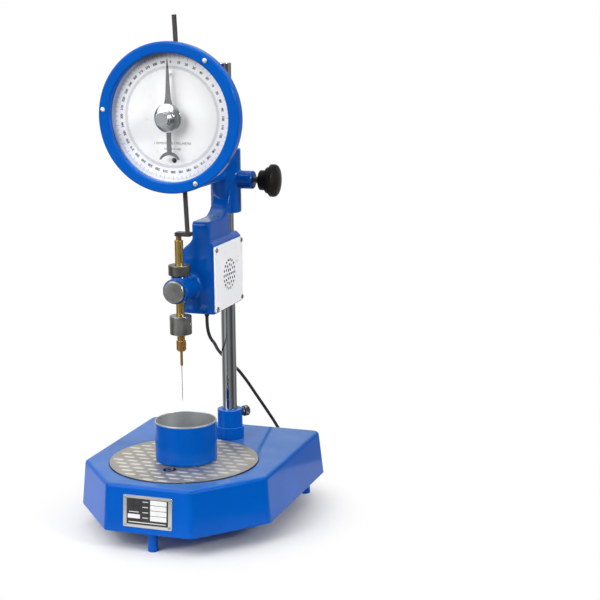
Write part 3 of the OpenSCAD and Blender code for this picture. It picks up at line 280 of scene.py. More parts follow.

# %% [markdown]
# ## The lead
# A thin black lead leaves the underside of the head, hangs behind the column and reaches the table. Its spare length is
# wound into a flat coil of two layers behind the base. A curve with a round section would do; a mesh tube is made
# instead. On the real lead the free stretch gives when the head slides. The points repeat the frame's route.

# %% Route of the lead
lead_points = [
    (15, 12, 245.7), (15, 12, 243), (15, 12.1, 240), (15, 12.9, 233.1), (15, 15.2, 226.6), (14.9, 18.9, 220.9),
    (14.5, 24.1, 216.2), (13.6, 31, 211.8), (12, 40, 207.2), (9.9, 49, 202.6), (7.6, 58, 197.8),
    (5.6, 67, 192.7), (4.5, 76, 187.3), (4.4, 85, 181.3), (5.6, 94, 174.3), (8.3, 103, 166.7),
    (11.4, 109.5, 160.6), (15.2, 116.5, 152.8), (21.6, 127.5, 137), (29.5, 139.5, 116.5), (38.5, 151, 95),
    (47, 161, 74.5), (53.6, 170, 55), (57.4, 179, 37), (58, 189, 21.5), (54.2, 199, 10.8),
    (46.5, 207.6, 5.2), (37, 213, 3.3), (27, 215, 3), (18, 215, 3),
]


def smooth_path(points, steps):
    """A smooth curve through the points."""
    p = [Vector(points[0])] + [Vector(q) for q in points] + [Vector(points[-1])]
    out = []
    for a, b, c, d in zip(p, p[1:], p[2:], p[3:]):
        for s in range(steps):
            t = s / steps
            bend = (2 * a - 5 * b + 4 * c - d) * t * t + (3 * b - a - 3 * c + d) * t ** 3
            out.append(0.5 * (2 * b + (c - a) * t + bend))
    return out + [p[-1]]


COIL_MID, COIL_WIDE, COIL_TIGHT, COIL_TURNS = Vector((10, 186, 0)), 29, 17.6, 2.25
COIL_LOW, COIL_RISE, COIL_STEPS = 3.0, 4.8, 48


def coil_point(t):
    """A point of the coil after t turns: inwards, half a turn of climb, outwards again."""
    shrink = min(t, COIL_TURNS) - max(0, t - COIL_TURNS - 0.5)
    r = COIL_WIDE + (COIL_TIGHT - COIL_WIDE) * shrink / COIL_TURNS
    z = COIL_LOW + COIL_RISE * max(0, min(1, (t - COIL_TURNS) / 0.5))
    a = math.radians(90) + math.tau * t
    return COIL_MID + Vector((r * math.cos(a), r * math.sin(a), z))


coil_count = int((2 * COIL_TURNS + 0.5) * COIL_STEPS)
lead_path = smooth_path(lead_points, 4) + [Vector((14, 215, 3))]
lead_path += [coil_point(i / COIL_STEPS) for i in range(coil_count + 1)]
LEAD_END = Vector((-4, 215, 7.8))
lead_path += [LEAD_END + Vector((4, 0, 0)), LEAD_END]
lead_length = sum((b - a).length for a, b in zip(lead_path, lead_path[1:])) * MM
print("lead is", round(lead_length, 3), "m long")

# %% [markdown]
# The sheath is soft black plastic: nearly matt, a little greyer where it has been handled, with a fine grain.

# %% Black sheath
def black_plastic(name, grey, rough, grain):
    f = start_finish(name, ior=1.45)
    handled = cloud(f, 45, 4)
    colour = ramp(f, handled, [(0.35, (grey, grey, grey)), (0.7, (grey * 2.2, grey * 2.2, grey * 2.3))])
    dents(f, cloud(f, 1800, 2), 0.0001, grain)
    return close_finish(f, colour, between(f, handled, rough, rough + 0.16))


sheath = black_plastic("black sheath", 0.010, 0.42, 0.25)
moulded = black_plastic("black moulding", 0.008, 0.34, 0.35)
print("sheath finishes:", sheath.name, moulded.name)

# %% Lead as one tube
def tube(path, radius, sides):
    """A tube round a path, its rings carried on without twist and its ends closed."""
    bm = bmesh.new()
    side = Vector((1, 0, 0))
    rings = []
    for k, p in enumerate(path):
        run = (path[min(k + 1, len(path) - 1)] - path[max(k - 1, 0)]).normalized()
        side = (side - run * side.dot(run)).normalized()
        other = run.cross(side)
        rings.append([
            bm.verts.new(p + radius * (math.cos(math.tau * i / sides) * side + math.sin(math.tau * i / sides) * other))
            for i in range(sides)
        ])
    for a, b in zip(rings, rings[1:]):
        for i in range(sides):
            bm.faces.new((a[i], a[(i + 1) % sides], b[(i + 1) % sides], b[i]))
    bm.faces.new(rings[0][::-1])
    bm.faces.new(rings[-1])
    return bm


LEAD_R = 2.0
lead = shape("lead", tube(lead_path, LEAD_R, 12))
paint(lead, sheath)
lead.data.shade_smooth()
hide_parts("cable_drop", "cable_coil")
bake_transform(lead)
print("lead tube has", len(lead.data.polygons), "faces")

# %% [markdown]
# The lead ends in a round connector with a ribbed grip and five pins, a tie holds the coil, and a tapered gland takes
# the pull where the lead leaves the head. All are moulded, so their edges are soft.

# %% Connector, tie and gland
plug_profile = [(0, 0), (2.7, 0), (3.2, 4), (2.9, 5), (3.5, 8), (3.1, 9), (3.9, 12), (6.3, 14), (7.8, 16)]
RIB_STEP = 2.8
for rib in range(4):
    for r, h in ((7.8, 17.2), (7.3, 17.8), (7.3, 18.6), (7.8, 19.2)):
        plug_profile.append((r, h + RIB_STEP * rib))
plug_profile += [(7.8, 28.3), (7, 29), (7, 40), (5.6, 40), (5.6, 32), (0, 32)]
plug_place = stand(LEAD_END, (-1, 0, 0))
plug = shape("connector", turned(eased(plug_profile, 0.4, 2), 64), plug_place)
hang(plug, moulded, "column", "black_plastic", "cable_plug")
GLAND_SPOT = (15, 12, 252)
gland_profile = [(0, -6), (2.6, -6), (2.7, -5), (3.4, -2.9), (5.1, -2.5)]
gland_profile += [(5.5, -2), (5.5, 0), (4, 0), (4, 5.5), (0, 5.5)]
gland = turned(eased(gland_profile, 0.3, 2), 48, flutes=12, depth=0.4, grip=(-2.4, -0.2))
hang(shape("lead_gland", gland, stand(GLAND_SPOT)), moulded, "head", "black_plastic", "cable_gland")

# %% Tie round the coil
def bar(size, corner, bits=2):
    """A block from (0, 0, 0) to size with rounded edges."""
    bm = bmesh.new()
    bmesh.ops.create_cube(bm, size=1)
    bmesh.ops.transform(bm, matrix=Matrix.Diagonal((*size, 1)) @ Matrix.Translation((0.5, 0.5, 0.5)), verts=bm.verts)
    bmesh.ops.bevel(bm, geom=bm.edges[:], offset=corner, segments=bits, profile=0.5, affect="EDGES")
    return bm


def closed_strap(outline, thickness, width):
    """A flat strap bent along a closed outline in XZ, its width along Y."""
    bm = bmesh.new()
    mid = sum((Vector(p) for p in outline), Vector((0, 0))) / len(outline)
    rings = []
    for p in outline:
        out = (Vector(p) - mid).normalized() * thickness
        corners = [(p[0], 0), (p[0] + out.x, 0), (p[0] + out.x, width), (p[0], width)]
        heights = [p[1], p[1] + out.y, p[1] + out.y, p[1]]
        rings.append([bm.verts.new((x, y, z)) for (x, y), z in zip(corners, heights)])
    for a, b in zip(rings, rings[1:] + rings[:1]):
        for i in range(4):
            bm.faces.new((a[i], a[(i + 1) % 4], b[(i + 1) % 4], b[i]))
    return bm


tie_loop = eased([(-0.2, 0.65), (16.2, 0.65), (16.2, 10.2), (-0.2, 10.2)], 1.6, 4, closed=True)
tie_strap = closed_strap(tie_loop, 0.5, 5)
tie_place = Matrix(((0, 1, 0, 7.5), (-1, 0, 0, 170.8), (0, 0, 1, 0), (0, 0, 0, 1)))
tie = hang(shape("coil_tie", tie_strap, tie_place), sheath, "column", "black_plastic", "cable_tie")

# %% [markdown]
# ## Floor and light
# The photograph stands on white, lit softly from the upper left. A lamp strong enough to burn the floor white would
# also burn the dial, so the floor and the world show plain white to the camera and to reflections, while the lamps
# stay at an even level. Close to the instrument the floor is an ordinary pale surface and keeps the shadow.

# %% World
world = bpy.data.worlds.new("white studio")
bpy.context.scene.world = world
world.use_nodes = True
sky = world.node_tree
soft = sky.nodes["Background"]
soft.inputs["Color"].default_value = (1, 1, 1, 1)
backdrop = sky.nodes.new("ShaderNodeBackground")
backdrop.inputs["Color"].default_value = (1, 1, 1, 1)
mirrored = sky.nodes.new("ShaderNodeBackground")


def mix_shaders(tree, amount, first, second):
    made = tree.nodes.new("ShaderNodeMixShader")
    tree.links.new(amount, made.inputs["Fac"])
    tree.links.new(first, made.inputs[1])
    tree.links.new(second, made.inputs[2])
    return made.outputs[0]


# A reflection sees the white backdrop behind the object, and bands of windows and walls on the camera's side.
direction = sky.nodes.new("ShaderNodeTexCoord")
around = sky.nodes.new("ShaderNodeTexGradient")
around.gradient_type = "RADIAL"
bands = sky.nodes.new("ShaderNodeValToRGB")
walls = [(0, 0.3), (0.06, 0.16), (0.165, 0.72), (0.225, 0.18), (0.31, 0.4), (0.39, 0.15), (0.455, 0.08), (0.5, 0.22)]
walls += [(0.555, 0.45), (0.62, 0.2), (0.67, 0.14), (0.705, 0.75), (0.77, 1), (0.92, 1), (0.97, 0.5), (1, 0.3)]
for spot, grey in walls[1:-1]:
    bands.color_ramp.elements.new(spot)
for element, (spot, grey) in zip(bands.color_ramp.elements, walls):
    element.position, element.color = spot, (grey, grey, grey, 1)
height = sky.nodes.new("ShaderNodeSeparateXYZ")


def by_height(low, high, dark, light):
    """A number that grows from dark to light as a direction turns upwards."""
    return map_range(sky, height.outputs["Z"], low, high, dark, light).outputs["Result"]


room = sky.nodes.new("ShaderNodeMath")
room.operation = "MAXIMUM"
sky.links.new(direction.outputs["Generated"], around.inputs["Vector"])
sky.links.new(direction.outputs["Generated"], height.inputs["Vector"])
sky.links.new(around.outputs["Fac"], bands.inputs["Fac"])
sky.links.new(bands.outputs["Color"], room.inputs[0])
sky.links.new(by_height(0.3, 0.7, 0.0, 0.9), room.inputs[1])
sky.links.new(by_height(-0.1, 0.8, 0.05, 0.86), soft.inputs["Strength"])
sky.links.new(room.outputs["Value"], mirrored.inputs["Strength"])
rays = sky.nodes.new("ShaderNodeLightPath")
view = mix_shaders(sky, rays.outputs["Is Camera Ray"], soft.outputs[0], backdrop.outputs[0])
view = mix_shaders(sky, rays.outputs["Is Transmission Ray"], view, backdrop.outputs[0])
view = mix_shaders(sky, rays.outputs["Is Glossy Ray"], view, mirrored.outputs[0])
sky.links.new(view, sky.nodes["World Output"].inputs["Surface"])
bpy.context.scene.view_settings.view_transform = "Standard"
print("world is white to the eye and soft as a lamp")

# %% Floor
floor_finish = bpy.data.materials.new("pale floor")
floor_finish.use_nodes = True
ground = floor_finish.node_tree
paper = ground.nodes["Principled BSDF"]
paper.inputs["Base Color"].default_value = (0.82, 0.82, 0.82, 1)
paper.inputs["Roughness"].default_value = 0.6
glow = ground.nodes.new("ShaderNodeEmission")
where = ground.nodes.new("ShaderNodeTexCoord")
far = ground.nodes.new("ShaderNodeVectorMath")
far.operation = "LENGTH"
PAPER_R, WHITE_R = 0.12, 0.22
fade = map_range(ground, far.outputs["Value"], PAPER_R, WHITE_R)
fade.interpolation_type = "SMOOTHSTEP"
ground.links.new(where.outputs["Object"], far.inputs[0])
floor_rays = ground.nodes.new("ShaderNodeLightPath")
seen = mix_shaders(ground, fade.outputs["Result"], paper.outputs[0], glow.outputs[0])
surface = mix_shaders(ground, floor_rays.outputs["Is Camera Ray"], paper.outputs[0], seen)
surface = mix_shaders(ground, floor_rays.outputs["Is Transmission Ray"], surface, seen)
surface = mix_shaders(ground, floor_rays.outputs["Is Glossy Ray"], surface, seen)
ground.links.new(surface, ground.nodes["Material Output"].inputs["Surface"])
FLOOR_R = 340
sheet = bmesh.new()
bmesh.ops.create_circle(sheet, cap_ends=True, segments=128, radius=FLOOR_R)
floor = shape("floor", sheet)
paint(floor, floor_finish)
print("floor spans", round(floor.dimensions.x, 1), "m")

# %% Lamps
def lamp(name, place, aim, size, watts, spread=180):
    light = bpy.data.lights.new(name, "AREA")
    light.shape, light.size, light.energy = "DISK", size, watts
    light.spread = math.radians(spread)
    obj = bpy.data.objects.new(name, light)
    obj.location = place
    obj.rotation_euler = (Vector(aim) - Vector(place)).to_track_quat("-Z", "Y").to_euler()
    bpy.context.scene.collection.objects.link(obj)


lamp("key lamp", (-1.0, -1.5, 1.5), (0, 0, 0.3), 2.3, 43)
lamp("flash", (-0.55, -1.7, 1.35), (0, 0, 0.35), 0.12, 5)
lamp("fill lamp", (1.6, -0.6, 1.1), (0.03, 0.03, 0.33), 0.6, 0.88, spread=26)
lamp("top lamp", (-0.2, 0.3, 1.9), (0, 0, 0.2), 0.9, 2)
print("three soft lamps and a small flash")

# %% [markdown]
# ## Blue enamel
# The castings are sprayed with a glossy blue enamel. Sprayed paint has a faint ripple like orange skin and is a little
# uneven in tone. Sharp edges turn a lighter blue, partly worn paint and partly a painted highlight. A clear coat could
# be laid over the colour, but this paint shines by itself, so its own roughness is kept low. Faces that look up take a
# paler grey tone, partly dust and partly a painted sheen, and the head gets a darker copy of the enamel as painted
# shade.

# %% Blue enamel
def blue_enamel(name, ripple, depth=1.0, ior=1.21):
    f = start_finish(name, ior=ior)
    # A depth below 1 scales every tone of the enamel down: a darker copy of the same paint, used as painted shade.
    thin, full = (0, 0.080 * depth, 0.415 * depth), (0, 0.098 * depth, 0.485 * depth)
    tone = ramp(f, cloud(f, 14, 4), [(0.3, thin), (0.7, full)])
    specks = between(f, cloud(f, 900, 2), 0, 0.4, 0.70, 0.78)
    tone = over(f, specks, tone, (0.01, 0.15 * depth, 0.54 * depth))
    # Sharp convex edges turn a lighter blue: partly worn paint, partly a painted highlight along fillets and edges.
    tone = over(f, edges(f, 0.55, 0.66, 0.35), tone, (0.03, 0.22, 0.60))
    # Faces that look up are mixed towards a paler grey: partly dust, partly a painted sheen standing for the room's
    # reflection.
    dust_and_sheen = ramp(f, cloud(f, 24, 5), [(0.3, (0.14, 0.30, 0.30)), (0.7, (0.30, 0.44, 0.41))])
    tone = over(f, upward(f, 0.21), tone, dust_and_sheen)
    dents(f, cloud(f, 330, 2), 0.0004, ripple)
    return close_finish(f, tone, between(f, cloud(f, 38, 4), 0.06, 0.15))


enamel = blue_enamel("blue enamel", 0.10)
enamel_smooth = blue_enamel("blue enamel on turned work", 0.05)
# The head's copy is darkened as painted shade for its shaded faces; its higher IOR adds gloss.
enamel_shaded_copy = blue_enamel("blue enamel darkened as painted shade", 0.10, depth=0.76, ior=1.38)
print("enamel finishes:", enamel.name, enamel_smooth.name, enamel_shaded_copy.name)

# %% [markdown]
# ## Base casting
# The base is one hollow casting: six sides that lean in, soft upright corners, a rounded top edge and a round pocket
# for the table plate. Modelling it face by face would lose the even lean, so it is lofted through a stack of
# outlines. Hollow, foot bosses and pocket are then cut with a Boolean, as the foundry and the mill would do it.

# %% Base outlines
BASE_W, BASE_D, FRONT_W, SLANT_D = 240, 284, 107, 78
BASE_CLEAR, BASE_H, BASE_LEAN, BASE_WALL, BASE_ROUND, BASE_CORNER = 24, 55, 5, 7, 5, 9
BASE_TOP = BASE_CLEAR + BASE_H


def rounded(corners, r, bits):
    """A convex outline with round corners."""
    out = []
    for k, corner in enumerate(corners):
        p = Vector(corner)
        u = (Vector(corners[k - 1]) - p).normalized()
        w = (Vector(corners[(k + 1) % len(corners)]) - p).normalized()
        half = u.angle(w) / 2
        mid = p + (u + w).normalized() * r / math.sin(half)
        first = p + u * r / math.tan(half) - mid
        for i in range(bits + 1):
            out.append(mid + Matrix.Rotation((math.pi - 2 * half) * i / bits, 2) @ first)
    return out


def base_ring(grow, r, z):
    """The base outline at height z, grown outwards and with corners of radius r."""
    half, front, deep = BASE_W / 2, FRONT_W / 2, BASE_D / 2
    turn = math.atan2(SLANT_D, half - front)
    fx = front + grow * math.tan(turn / 2)
    sy = deep - SLANT_D + grow * math.tan(math.pi / 4 - turn / 2)
    corners = [(-fx, -deep - grow), (fx, -deep - grow), (half + grow, -sy)]
    corners += [(half + grow, deep + grow), (-half - grow, deep + grow), (-half - grow, -sy)]
    return [(p.x, p.y, z) for p in rounded(corners, r, 9)]


def lean_in(z):
    return -BASE_LEAN * (z - BASE_CLEAR) / BASE_H


def loft(rings):
    """A closed solid through rings of equal count."""
    bm = bmesh.new()
    made = [[bm.verts.new(p) for p in ring] for ring in rings]
    for a, b in zip(made, made[1:]):
        for i in range(len(a)):
            j = (i + 1) % len(a)
            bm.faces.new((a[i], a[j], b[j], b[i]))
    bm.faces.new(made[0][::-1])
    bm.faces.new(made[-1])
    return bm


shoulder = BASE_TOP - BASE_ROUND
base_rings = [base_ring(-0.8, BASE_CORNER - 0.8, BASE_CLEAR), base_ring(-0.2, BASE_CORNER, BASE_CLEAR + 0.8)]
for i in range(10):
    bend = math.radians(10 * i)
    inward = BASE_ROUND * (1 - math.cos(bend))
    ring_r = max(BASE_CORNER - inward, 1)
    base_rings.append(base_ring(lean_in(shoulder) - inward, ring_r, shoulder + BASE_ROUND * math.sin(bend)))
base_rings.append(base_ring(lean_in(shoulder) - BASE_ROUND - 1.5, 2.5, BASE_TOP))
print("base lofted through", len(base_rings), "outlines")

# %% Cut the base
def settle(obj):
    """Makes the modifiers' result the object's own mesh."""
    graph = bpy.context.evaluated_depsgraph_get()
    mesh = bpy.data.meshes.new_from_object(obj.evaluated_get(graph))
    obj.modifiers.clear()
    obj.data = mesh


def carve(obj, tool, how="DIFFERENCE"):
    """Cuts a tool away from an object, or joins it to it, and removes the tool."""
    cut = obj.modifiers.new("carve", "BOOLEAN")
    cut.operation, cut.object, cut.solver = how, tool, "EXACT"
    settle(obj)
    bpy.data.objects.remove(tool)


PLATE_X, PLATE_Y = 0, -32
PLATE_R, PLATE_BED, PLATE_FIT, POCKET_BREAK = 88, 73.5, 0.2, 0.5
CEILING = PLATE_BED - 8
FEET = {"foot_front": (0, -127.5), "foot_left": (-99.5, 121.5), "foot_right": (99.5, 121.5)}
cast_base = shape("cast_base", loft(base_rings))
hollow = shape("hollow", loft([
    base_ring(lean_in(BASE_CLEAR - 1) - BASE_WALL, 2, BASE_CLEAR - 1),
    base_ring(lean_in(CEILING) - BASE_WALL, 2, CEILING),
]))
for x, y in FEET.values():
    carve(hollow, shape("boss", turned([(0, 0), (10, 0), (10, 60), (0, 60)], 48), stand((x, y, BASE_CLEAR - 2))))
carve(cast_base, hollow)
pocket_r, mouth_r = PLATE_R + PLATE_FIT, PLATE_R + PLATE_FIT + POCKET_BREAK
pocket = eased([(0, PLATE_BED), (pocket_r, PLATE_BED), (pocket_r, BASE_TOP - POCKET_BREAK)], 0.3)
pocket += [(mouth_r, BASE_TOP), (mouth_r, BASE_TOP + 4), (0, BASE_TOP + 4)]
carve(cast_base, shape("pocket", turned(pocket, 192), stand((PLATE_X, PLATE_Y, 0))))
hang(cast_base, enamel, "base", "blue_iron", "base_casting")

# %% [markdown]
# The feet are plain turned pegs painted with the base, each with a thinner shank that sits in a boss of the casting. A
# cylinder would do for the part that shows, but one turned profile gives foot and shank with their edges broken.

# %% Feet
FOOT_R, SHANK_R, SHANK_TOP = 6, 4, 44
foot_profile = [(0, 0), (FOOT_R, 0), (FOOT_R, BASE_CLEAR), (SHANK_R, BASE_CLEAR), (SHANK_R, SHANK_TOP), (0, SHANK_TOP)]
for node, (x, y) in FEET.items():
    peg = turned(eased(foot_profile, 0.9), 64)
    hang(shape("peg_" + node, peg, stand((x, y, 0))), enamel_smooth, "base", "blue_iron", node)

# %% [markdown]
# ## Table plate
# The sample stands on a disc cut from aluminium tread sheet: short raised bars rolled into the metal in staggered rows,
# like bricks. Bump mapping alone would vanish at this low angle, so each bar is real: a small lens that swells from
# pointed ends. They are joined to the disc in one Boolean, and the screw seats are cut last.

# %% Aluminium
def aluminium(name, dark, light, rough, marks, wear=0.6):
    f = start_finish(name, metallic=0.85)
    stain = cloud(f, 26, 5)
    colour = ramp(f, stain, [(0.28, dark), (0.72, light)])
    scratch = cloud(f, 420, 3, (0.06, 1, 1))
    colour = over(f, between(f, scratch, 0, 0.35, 0.58, 0.74), colour, (0.80, 0.79, 0.76))
    colour = over(f, edges(f, 0.52, 0.60, wear), colour, (0.88, 0.87, 0.85))
    dents(f, scratch, 0.0002, marks)
    return close_finish(f, colour, between(f, stain, rough, rough + 0.16))


# The sheet between the bars is darkened as painted shade; the bar tops are lighter, partly rubbed metal and partly a
# painted highlight.
tread = aluminium("rolled aluminium darkened as painted shade", (0.36, 0.34, 0.30), (0.52, 0.495, 0.44), 0.40, 0.15, wear=0)
rubbed_and_lit_tops = aluminium("bars rubbed bright and lit", (0.62, 0.60, 0.56), (0.80, 0.78, 0.74), 0.34, 0.08)
# Near black for the plate's rim and the walls of the screw seats: painted shade, not a real dark edge.
rim_and_seat_shade = aluminium("rim and seat walls in painted shade", (0.06, 0.06, 0.06), (0.11, 0.11, 0.11), 0.45, 0.2)
bright_alloy = aluminium("machined aluminium", (0.50, 0.51, 0.52), (0.66, 0.67, 0.68), 0.24, 0.08)
spun_alloy = aluminium("spun aluminium", (0.46, 0.48, 0.49), (0.60, 0.62, 0.63), 0.30, 0.12)
print("aluminium finishes:", tread.name, rubbed_and_lit_tops.name, rim_and_seat_shade.name, bright_alloy.name, spun_alloy.name)

# %% Disc with bars
BAR_PITCH, BAR_ROW, BAR_L, BAR_W, BAR_H = 18.5, 12, 15.5, 4.6, 0.8
PLATE_TOP, BAR_ROOT, SCREW_REACH, SCREW_CLEAR, SEAT_R = 81.5, 0.5, 43, 12, 8
SHEET_TOP = PLATE_TOP - BAR_H


def lens_bar(bm, x, y):
    """One raised bar: pointed ends, domed top, its root sunk into the sheet."""
    rings = []
    for i in range(11):
        t = -1 + 0.2 * i
        wide = BAR_W / 2 * max(1 - abs(t) ** 5, 0.12)
        tall = BAR_H * max(1 - abs(t) ** 4, 0.12)
        ring = [(-wide, -BAR_ROOT), (-wide, 0.15 * tall), (-0.62 * wide, 0.85 * tall), (0, tall)]
        ring += [(0.62 * wide, 0.85 * tall), (wide, 0.15 * tall), (wide, -BAR_ROOT)]
        run = t * BAR_L / 2
        rings.append([bm.verts.new((x + run, y + w, SHEET_TOP + h)) for w, h in ring])
    for a, b in zip(rings, rings[1:]):
        for i in range(7):
            bm.faces.new((a[i], a[(i + 1) % 7], b[(i + 1) % 7], b[i]))
    bm.faces.new(rings[0])
    bm.faces.new(rings[-1][::-1])


disc = [(0, PLATE_BED), (PLATE_R, PLATE_BED), (PLATE_R, SHEET_TOP), (0, SHEET_TOP)]
plate = shape("tread_plate", turned(eased(disc, 0.6), 192), stand((PLATE_X, PLATE_Y, 0)))
bars = bmesh.new()
count = 0
for i in range(-5, 6):
    for j in range(-7, 8):
        spot = Vector(((i + j % 2 / 2) * BAR_PITCH, j * BAR_ROW))
        clear = min((spot - Vector((0, side * SCREW_REACH))).length for side in (-1, 1)) > SCREW_CLEAR
        corner = Vector((abs(spot.x) + BAR_L / 2, abs(spot.y) + BAR_W / 2))
        if clear and corner.length < PLATE_R:
            lens_bar(bars, PLATE_X + spot.x, PLATE_Y + spot.y)
            count += 1
carve(plate, shape("bars", bars), "UNION")
SCREW_SEAT = 76.5
PLATE_SCREWS = [(PLATE_X, PLATE_Y - SCREW_REACH), (PLATE_X, PLATE_Y + SCREW_REACH)]
for x, y in PLATE_SCREWS:
    seat = [(0, 70), (3.2, 70), (3.2, SCREW_SEAT), (SEAT_R, SCREW_SEAT), (SEAT_R, 84), (0, 84)]
    carve(plate, shape("seat", turned(seat, 64), stand((x, y, 0))))
paint(plate, tread, rubbed_and_lit_tops, rim_and_seat_shade)


def from_screws(face):
    """How far a face lies from the axis of the nearer plate screw, in metres."""
    return min((face.center.xy - Vector(spot) * MM).length for spot in PLATE_SCREWS)


for face in plate.data.polygons:
    reach = (face.center.xy - Vector((PLATE_X, PLATE_Y)) * MM).length
    on_rim = reach > (PLATE_R - 0.7) * MM and abs(face.normal.z) < 0.5
    in_seat = from_screws(face) < (SEAT_R + 0.1) * MM and face.center.z < SHEET_TOP * MM
    # Upper faces of the bars take the lighter finish: partly wear, partly a painted highlight.
    if face.center.z > (SHEET_TOP + 0.3 * BAR_H) * MM:
        face.material_index = 1
    # Rim and seat walls take the near-black finish as painted shade.
    elif on_rim or in_seat:
        face.material_index = 2
hang(plate, None, "base", "table_alloy", "table_plate")
print("bars on the plate:", count)

# %% [markdown]
# ## Steel and screws
# Screws, nuts and the plunger's fittings are plain steel, turned and then handled for years: mid grey, brushed round
# the axis, darker in places. One function makes every slotted screw and another every socket screw, because a screw
# that is only a disc gives a model away.

# %% Steel
def steel(name, dark, light, rough, stretch=(1, 1, 0.05)):
    f = start_finish(name, metallic=1.0)
    handled = cloud(f, 70, 4)
    brushed = cloud(f, 1500, 2, stretch)
    colour = ramp(f, handled, [(0.3, dark), (0.7, light)])
    colour = over(f, between(f, brushed, 0, 0.3, 0.5, 0.8), colour, tuple(1.5 * c for c in light))
    colour = over(f, edges(f, 0.53, 0.62, 0.5), colour, (0.75, 0.75, 0.74))
    dents(f, brushed, 0.00005, 0.2)
    return close_finish(f, colour, between(f, handled, rough, rough + 0.14))


plain_steel = steel("plain steel", (0.25, 0.25, 0.24), (0.36, 0.36, 0.35), 0.28)
dull_steel = steel("dull steel", (0.12, 0.12, 0.115), (0.20, 0.20, 0.19), 0.30)
screw_steel = steel("screw steel", (0.34, 0.34, 0.35), (0.50, 0.50, 0.51), 0.22)
nickel = steel("nickel plate", (0.66, 0.67, 0.68), (0.82, 0.83, 0.84), 0.30)
dark_steel = steel("dark steel", (0.045, 0.042, 0.04), (0.085, 0.078, 0.072), 0.30)


def blackened(name):
    """Steel with a black oxide skin, rubbed a little at the edges."""
    f = start_finish(name, ior=1.4)
    worn = cloud(f, 160, 5, (1, 1, 0.2))
    tone = ramp(f, worn, [(0.35, (0.012, 0.011, 0.010)), (0.75, (0.034, 0.031, 0.028))])
    tone = over(f, edges(f, 0.54, 0.64, 0.4), tone, (0.12, 0.11, 0.10))
    dents(f, cloud(f, 1400, 2), 0.00005, 0.2)
    return close_finish(f, tone, between(f, worn, 0.30, 0.45))


black_oxide = blackened("black oxide")
print("steel finishes ready")

# %% Screws
def join_all(name, shapes):
    """Several shapes in millimetres as one mesh."""
    bm = bmesh.new()
    for part, place in shapes:
        bmesh.ops.transform(part, matrix=place, verts=part.verts)
        mesh = bpy.data.meshes.new("part")
        part.to_mesh(mesh)
        part.free()
        bm.from_mesh(mesh)
        bpy.data.meshes.remove(mesh)
    return shape(name, bm)


def drive_cut(r, h, slot, places):
    """What is milled out of the heads: a slot across, or a hexagon."""
    cutters = []
    for k, place in enumerate(places):
        if slot:
            turn = Matrix.Rotation(math.radians(25 + 70 * k), 4, "Z")
            block = bar((2.4 * r, 0.3 * r, h), 0.01, 1)
            cutters.append((block, place @ turn @ Matrix.Translation((-1.2 * r, -0.15 * r, 0.5 * h))))
        else:
            hexagon = turned([(0, 0.45 * h), (0.55 * r, 0.45 * h), (0.55 * r, 1.4 * h), (0, 1.4 * h)], 6)
            cutters.append((hexagon, place))
    return join_all("drive", cutters)


def screws(name, r, h, shank, l, places, slot=True):
    """Screws of head radius r and height h with their seats at the places."""
    dome = 0.22
    head = [(r, 0), (r, h), (0, h)]
    if slot:
        head = [(r, 0), (r, (0.85 - dome) * h), (0.6 * r, (1 - dome / 4) * h), (0, h)]
    profile = eased([(0, -l), (shank, -l), (shank, 0)] + head, 0.22 * h)
    made = join_all(name, [(turned(profile, 48), place) for place in places])
    carve(made, drive_cut(r, h, slot, places))
    return made


plate_spots = [stand((x, y, SCREW_SEAT)) for x, y in PLATE_SCREWS]
cap_screws = screws("plate_cap_screws", 5, 4.4, 3, 10, plate_spots, slot=False)
paint(cap_screws, black_oxide, nickel)
# The head's side and outer rim take black oxide as painted shade, joining the dark seat walls in one ring; only the top
# inside this radius shows bright nickel.
BRIGHT_TOP_R = 3.9
for face in cap_screws.data.polygons:
    if face.normal.z > 0.9 and from_screws(face) < BRIGHT_TOP_R * MM:
        face.material_index = 1
hang(cap_screws, None, "base", "bright_steel", "plate_screws")

# %% [markdown]
# ## Nameplate
# A blank aluminium plate is riveted to the front. Its printed field is black with pale boxes for writing, and nothing
# is written in them. The print is made as thin raised layers: a line of ink has an edge that a picture would lack.

# %% Printed inks
def ink(name, colour, spread=0.15):
    f = start_finish(name)
    tone = ramp(f, cloud(f, 160, 3), [(0.3, colour), (0.7, tuple(c * (1 - spread) + spread * 0.4 for c in colour))])
    dents(f, cloud(f, 2500, 2), 0.00004, 0.2)
    return close_finish(f, tone, between(f, cloud(f, 90, 3), 0.38, 0.55))


black_ink = ink("black ink", (0.012, 0.012, 0.014), 0.04)
pale_ink = ink("pale ink", (0.74, 0.75, 0.74))
grey_ink = ink("grey ink", (0.30, 0.31, 0.33))
print("three inks")

# %% Nameplate, fields and rivets
NAME_W, NAME_H, NAME_T, NAME_SEAT, INK_T = 60, 37, 0.8, (0, -139.636, 50), 0.05
front_lean = math.degrees(math.atan2(BASE_LEAN, BASE_H))
on_front = Matrix.Translation(NAME_SEAT) @ Matrix.Rotation(math.radians(90 - front_lean), 4, "X")


def slab(outline, z0, z1, edge=0.0):
    """A flat piece of this outline between two heights, its top edge broken."""
    low, high = [(*p, z0) for p in outline], [(*p, z1 - edge) for p in outline]
    mid = sum((Vector(p) for p in outline), Vector((0, 0))) / len(outline)
    rings = [low, high]
    if edge:
        rings.append([(*(Vector(p) + (mid - Vector(p)).normalized() * edge), z1) for p in outline])
    return loft(rings)


def panel(x, y, w, h, corner, z0, z1, edge=0.0):
    """A rounded rectangle centred at x, y."""
    corners = [(x - w / 2, y - h / 2), (x + w / 2, y - h / 2), (x + w / 2, y + h / 2), (x - w / 2, y + h / 2)]
    return slab(rounded(corners, corner, 5), z0, z1, edge)


